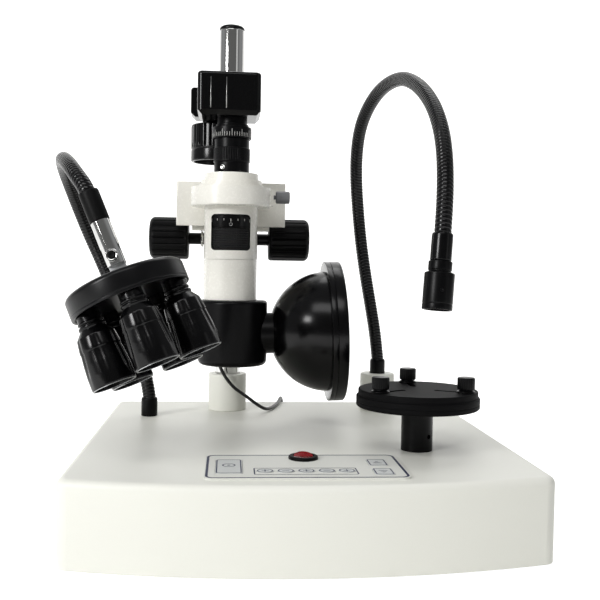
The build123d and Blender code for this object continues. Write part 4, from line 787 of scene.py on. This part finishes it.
class TubeOperator(bpy.types.Operator):
    """Zoom tube, its knurled ring and the nose barrel."""
    bl_idname = "microscope.tube"
    bl_label = "Zoom tube"

    def execute(self, context):
        keep_nodes("enamel", "zoom_tube", "nose_barrel")
        keep_nodes("glass", "objective_lens")

        def knurl(angle, along, radius):
            if radius < 23 or not 230 < along < 252:
                return radius
            row = abs(((along - 230) / 2.2) % 1 - 0.5) * 2
            column = abs((angle * 60 / tau) % 1 - 0.5) * 2
            return radius - 0.6 * (1 - (1 - row ** 3) * (1 - column ** 3))

        rows = [(23.45, 230 + 0.2 * i) for i in range(111)]
        outline = [(20.3, 228.5), (23.4, 228.5)] + rows + [
            (23.0, 252.6), (23.0, 253.4), (23.45, 253.8), (23.45, 262.6), (23.1, 263), (23.1, 264),
            (23.45, 264.4), (23.45, 268.1), (20.3, 268.1), (20.3, 228.5)]
        new_piece("zoom_grip", turned_mesh("zoom_grip", SCOPE, UP, outline, knurl, 480), "zoom_ring",
                  "hose_black", ["zoom_ring"])
        marks = []
        for number in range(-3, 4):
            angle = radians(-90 + number * 16)
            tall = 3.0 if number % 3 == 0 else 1.8
            turn = Matrix.Rotation(angle, 3, "Z")
            place = Vector(on_scope(260.5 - tall / 2)) + turn @ Vector((23.42, 0, 0))
            marks.append(block_mesh("mark", place, (0.12, 0.5, tall), turn))
        new_piece("zoom_marks", merged("zoom_marks", marks), "zoom_ring", "engraving")
        turn = Matrix.Rotation(radians(-90), 3, "Z")
        screw = softened([(0, 22.6), (1.6, 22.6), (1.6, 23.48), (1.1, 23.48), (0.9, 23.1), (0, 23.1)], 0.15)
        head = turned_mesh("screw", on_scope(255.4), turn @ Vector((1, 0, 0)), screw, steps=32)
        new_piece("zoom_stop_screw", head, "zoom_ring", "steel")
        return {"FINISHED"}


class DomeOperator(bpy.types.Operator):
    """Mirror housing and dome light."""
    bl_idname = "microscope.dome"
    bl_label = "Dome light"

    def execute(self, context):
        keep_nodes("anodised", "mirror_housing")
        keep_nodes("mirror", "mirror")
        keep_nodes("board", "dome_leds")
        start, end = asin(53 / 57), asin(3 / 57)
        outer = []
        for i in range(41):
            angle = start + (end - start) * i / 40
            outer.append((57 * cos(angle), 53 - 57 * sin(angle)))
        shell = [(16.0, 0.0)] + outer + softened([(57.6, 50.1), (66.2, 50.1), (66.2, 55), (54.5, 55)], 0.5)
        new_piece("dome_outside", turned_mesh("dome", DOME, LOOK, shell, steps=192), "scope", "gloss_abs",
                  ["dome"])
        inner = [(54.5, 55)]
        for i in range(37):
            angle = radians(73) * i / 36
            inner.append((54.5 * cos(angle), 53 - 54.5 * sin(angle)))
        inner += [(16.0, inner[-1][1]), (16.0, 0.0)]
        new_piece("dome_inside", turned_mesh("dome", DOME, LOOK, inner, steps=160), "scope", "dome_white")
        rim = softened([(63.7, 55.05), (66.2, 55.05), (66.2, 63.5), (65.2, 64.5), (50.6, 64.5), (50, 64),
                        (50, 62.5), (63.7, 62.5), (63.7, 55.05)], 0.5)
        new_piece("dome_rim_ring", turned_mesh("rim", DOME, LOOK, rim, steps=192), "scope", "gloss_abs",
                  ["dome_rim"])
        return {"FINISHED"}


class CameraOperator(bpy.types.Operator):
    """Camera adapter, camera and the second camera with its lens."""
    bl_idname = "microscope.cameras"
    bl_label = "Cameras"

    def execute(self, context):
        keep_nodes("gloss_abs", "camera", "second_camera")
        # two steel strips in the camera's front grooves: their pale metal is a painted highlight, standing for
        # the light lines that the black fin edges catch
        highlight_fins = [block_mesh("fin", Vector((x, 11.9, 374.4)), (0.7, 0.9, 28)) for x in (-79.7, -65.5)]
        new_piece("camera_fin_highlights", merged("highlight_fins", highlight_fins), "scope", "steel")
        outline = softened([(11, 303), (16.4, 303), (16.4, 313.1), (16.0, 313.6), (17, 314.0), (17, 326.7),
                            (16.3, 327), (16.3, 335.4), (14.6, 335.4), (14.6, 346.6), (15.4, 346.6),
                            (15.4, 348.8), (14, 349), (14, 355), (11, 355)], 0.4)

        def gripped(angle, along, radius):
            if 315 < along < 326 and radius > 16.8:
                return radius - 0.45 * (abs(((angle * 64 / tau) % 1) - 0.5) * 2) ** 4
            return radius

        rows = []
        for one, two in zip(outline, outline[1:]):
            rows.append(one)
            if one[0] > 16.9 and two[0] > 16.9 and two[1] - one[1] > 5:
                rows += [(17, one[1] + (two[1] - one[1]) * s / 24) for s in range(1, 24)]
        rows.append(outline[-1])
        new_piece("adapter_barrel", turned_mesh("adapter", SCOPE, UP, rows, gripped, 512), "scope",
                  "anodised", ["camera_adapter"])
        ring = softened([(14.7, 335.7), (17.8, 335.7), (18.1, 336.1), (18.1, 345.9), (17.8, 346.3),
                         (14.7, 346.3)], 0.3)
        new_piece("adapter_scale", turned_mesh("ring", SCOPE, UP, ring), "focus_ring", "anodised",
                  ["focus_ring"])
        marks = []
        for number in range(48):
            turn = Matrix.Rotation(tau * number / 48, 3, "Z")
            tall = 6.4 if number % 4 == 0 else 3.8
            place = Vector(on_scope(336.8 + tall / 2)) + turn @ Vector((18.1, 0, 0))
            marks.append(block_mesh("mark", place, (0.12, 0.4, tall), turn))
        new_piece("adapter_marks", merged("marks", marks), "focus_ring", "engraving")
        screw = softened([(0, 15), (2.4, 15), (2.4, 17.4), (2.0, 17.8), (1.3, 17.8), (1.3, 16.6),
                          (0, 16.6)], 0.2)
        head = turned_mesh("screw", on_scope(308.4), (-0.55, -1, 0), screw, steps=36)
        new_piece("adapter_screw", head, "scope", "chrome")

        def fluted(angle, along, radius):
            if radius < 24 or not 332 < along < 354.4:
                return radius
            fade = min(1.0, (along - 332) / 1.5)
            return radius - 1.3 * fade * max(0.0, cos(26 * angle)) ** 3

        outline = softened([(0, 354.7), (25, 354.7), (26, 353.8), (26, 352.5), (26, 345), (26, 338),
                            (26, 332.5), (26, 331.4), (25.5, 330.6), (26, 329.8), (26, 320), (25.4, 319),
                            (23, 319), (23, 335), (12, 341), (0, 341)], 0.6)
        new_piece("second_lens_grip", turned_mesh("lens", SECOND_LENS, UP, outline, fluted, 312), "scope",
                  "hose_black", ["second_lens"])
        return {"FINISHED"}


class TableOperator(bpy.types.Operator):
    """Turntable with its post and three clamps."""
    bl_idname = "microscope.turntable"
    bl_label = "Turntable"

    def execute(self, context):
        keep_nodes("anodised", "table_post")
        keep_nodes("blasted_black", "table_plate")
        outline = softened([(6, 76.5), (6, 101.7), (10, 101.7), (10, 103.5), (49.8, 103.5), (50.8, 104.5),
                            (50.8, 107.4), (50.4, 107.8), (50.8, 108.2), (50.8, 112), (49.8, 113),
                            (46.8, 113), (46.8, 106), (0, 106)], 0.4)
        ring = turned_mesh("ring", TABLE, UP, [(0, 76.5)] + outline, steps=160)
        new_piece("table_ring_turned", ring, "table", "blasted_black", ["table_ring"])
        for number in range(CLAMP_COUNT):
            angle = radians(90 + 360 / CLAMP_COUNT * number)
            place = (TABLE[0] + CLAMP_CIRCLE * cos(angle), TABLE[1] + CLAMP_CIRCLE * sin(angle), 0)
            outline = softened([(0, 110.1), (6, 110.1), (6, 112.8), (2.3, 112.8), (2.3, 118.1), (7.5, 118.1),
                                (7.5, 119.1), (5.5, 119.8), (5.5, 120.4), (6.4, 120.5), (7.1, 121.2),
                                (7.1, 129.8), (6.4, 130.5), (0, 130.5)], 0.4)

            def ridged(turn, along, radius):
                if radius > 6.9 and 121 < along < 130:
                    return radius - 0.3 * (abs(((turn * 24 / tau) % 1) - 0.5) * 2) ** 3
                return radius

            new_piece(f"clamp_screw_{number + 1}", turned_mesh("clamp", place, UP, outline, ridged, 192),
                      f"clamp_{number + 1}", "anodised", [f"clamp_{number + 1}"])
        return {"FINISHED"}


class MicroscopePanel(bpy.types.Panel):
    """Sizes, colours and the builders of the pieces."""
    bl_idname = "VIEW3D_PT_microscope"
    bl_label = "Bench video microscope"
    bl_space_type = "VIEW_3D"
    bl_region_type = "UI"
    bl_category = "Microscope"

    def draw(self, context):
        column = self.layout.column()
        for group in (context.scene.microscope_sizes, context.scene.microscope_colours):
            for name in group.__annotations__:
                column.prop(group, name)
        for builder in BUILDERS:
            column.operator(builder.bl_idname)


BUILDERS = (StageOperator, LeadOperator, HoseOperator, SpotOperator, ClusterOperator, BaseOperator,
            PanelOperator, PillarOperator, FocusOperator, TubeOperator, DomeOperator, CameraOperator,
            TableOperator)
CLASSES = (MicroscopeSizes, MicroscopeColours, *BUILDERS, MicroscopePanel)


def register():
    for item in CLASSES:
        bpy.utils.register_class(item)
    bpy.types.Scene.microscope_sizes = bpy.props.PointerProperty(type=MicroscopeSizes)
    bpy.types.Scene.microscope_colours = bpy.props.PointerProperty(type=MicroscopeColours)


def unregister():
    del bpy.types.Scene.microscope_colours
    del bpy.types.Scene.microscope_sizes
    for item in reversed(CLASSES):
        bpy.utils.unregister_class(item)


def main():
    register()
    for builder in BUILDERS:
        group, name = builder.bl_idname.split(".")
        getattr(getattr(bpy.ops, group), name)()
    bpy.context.view_layer.update()


if __name__ == "__main__":
    main()
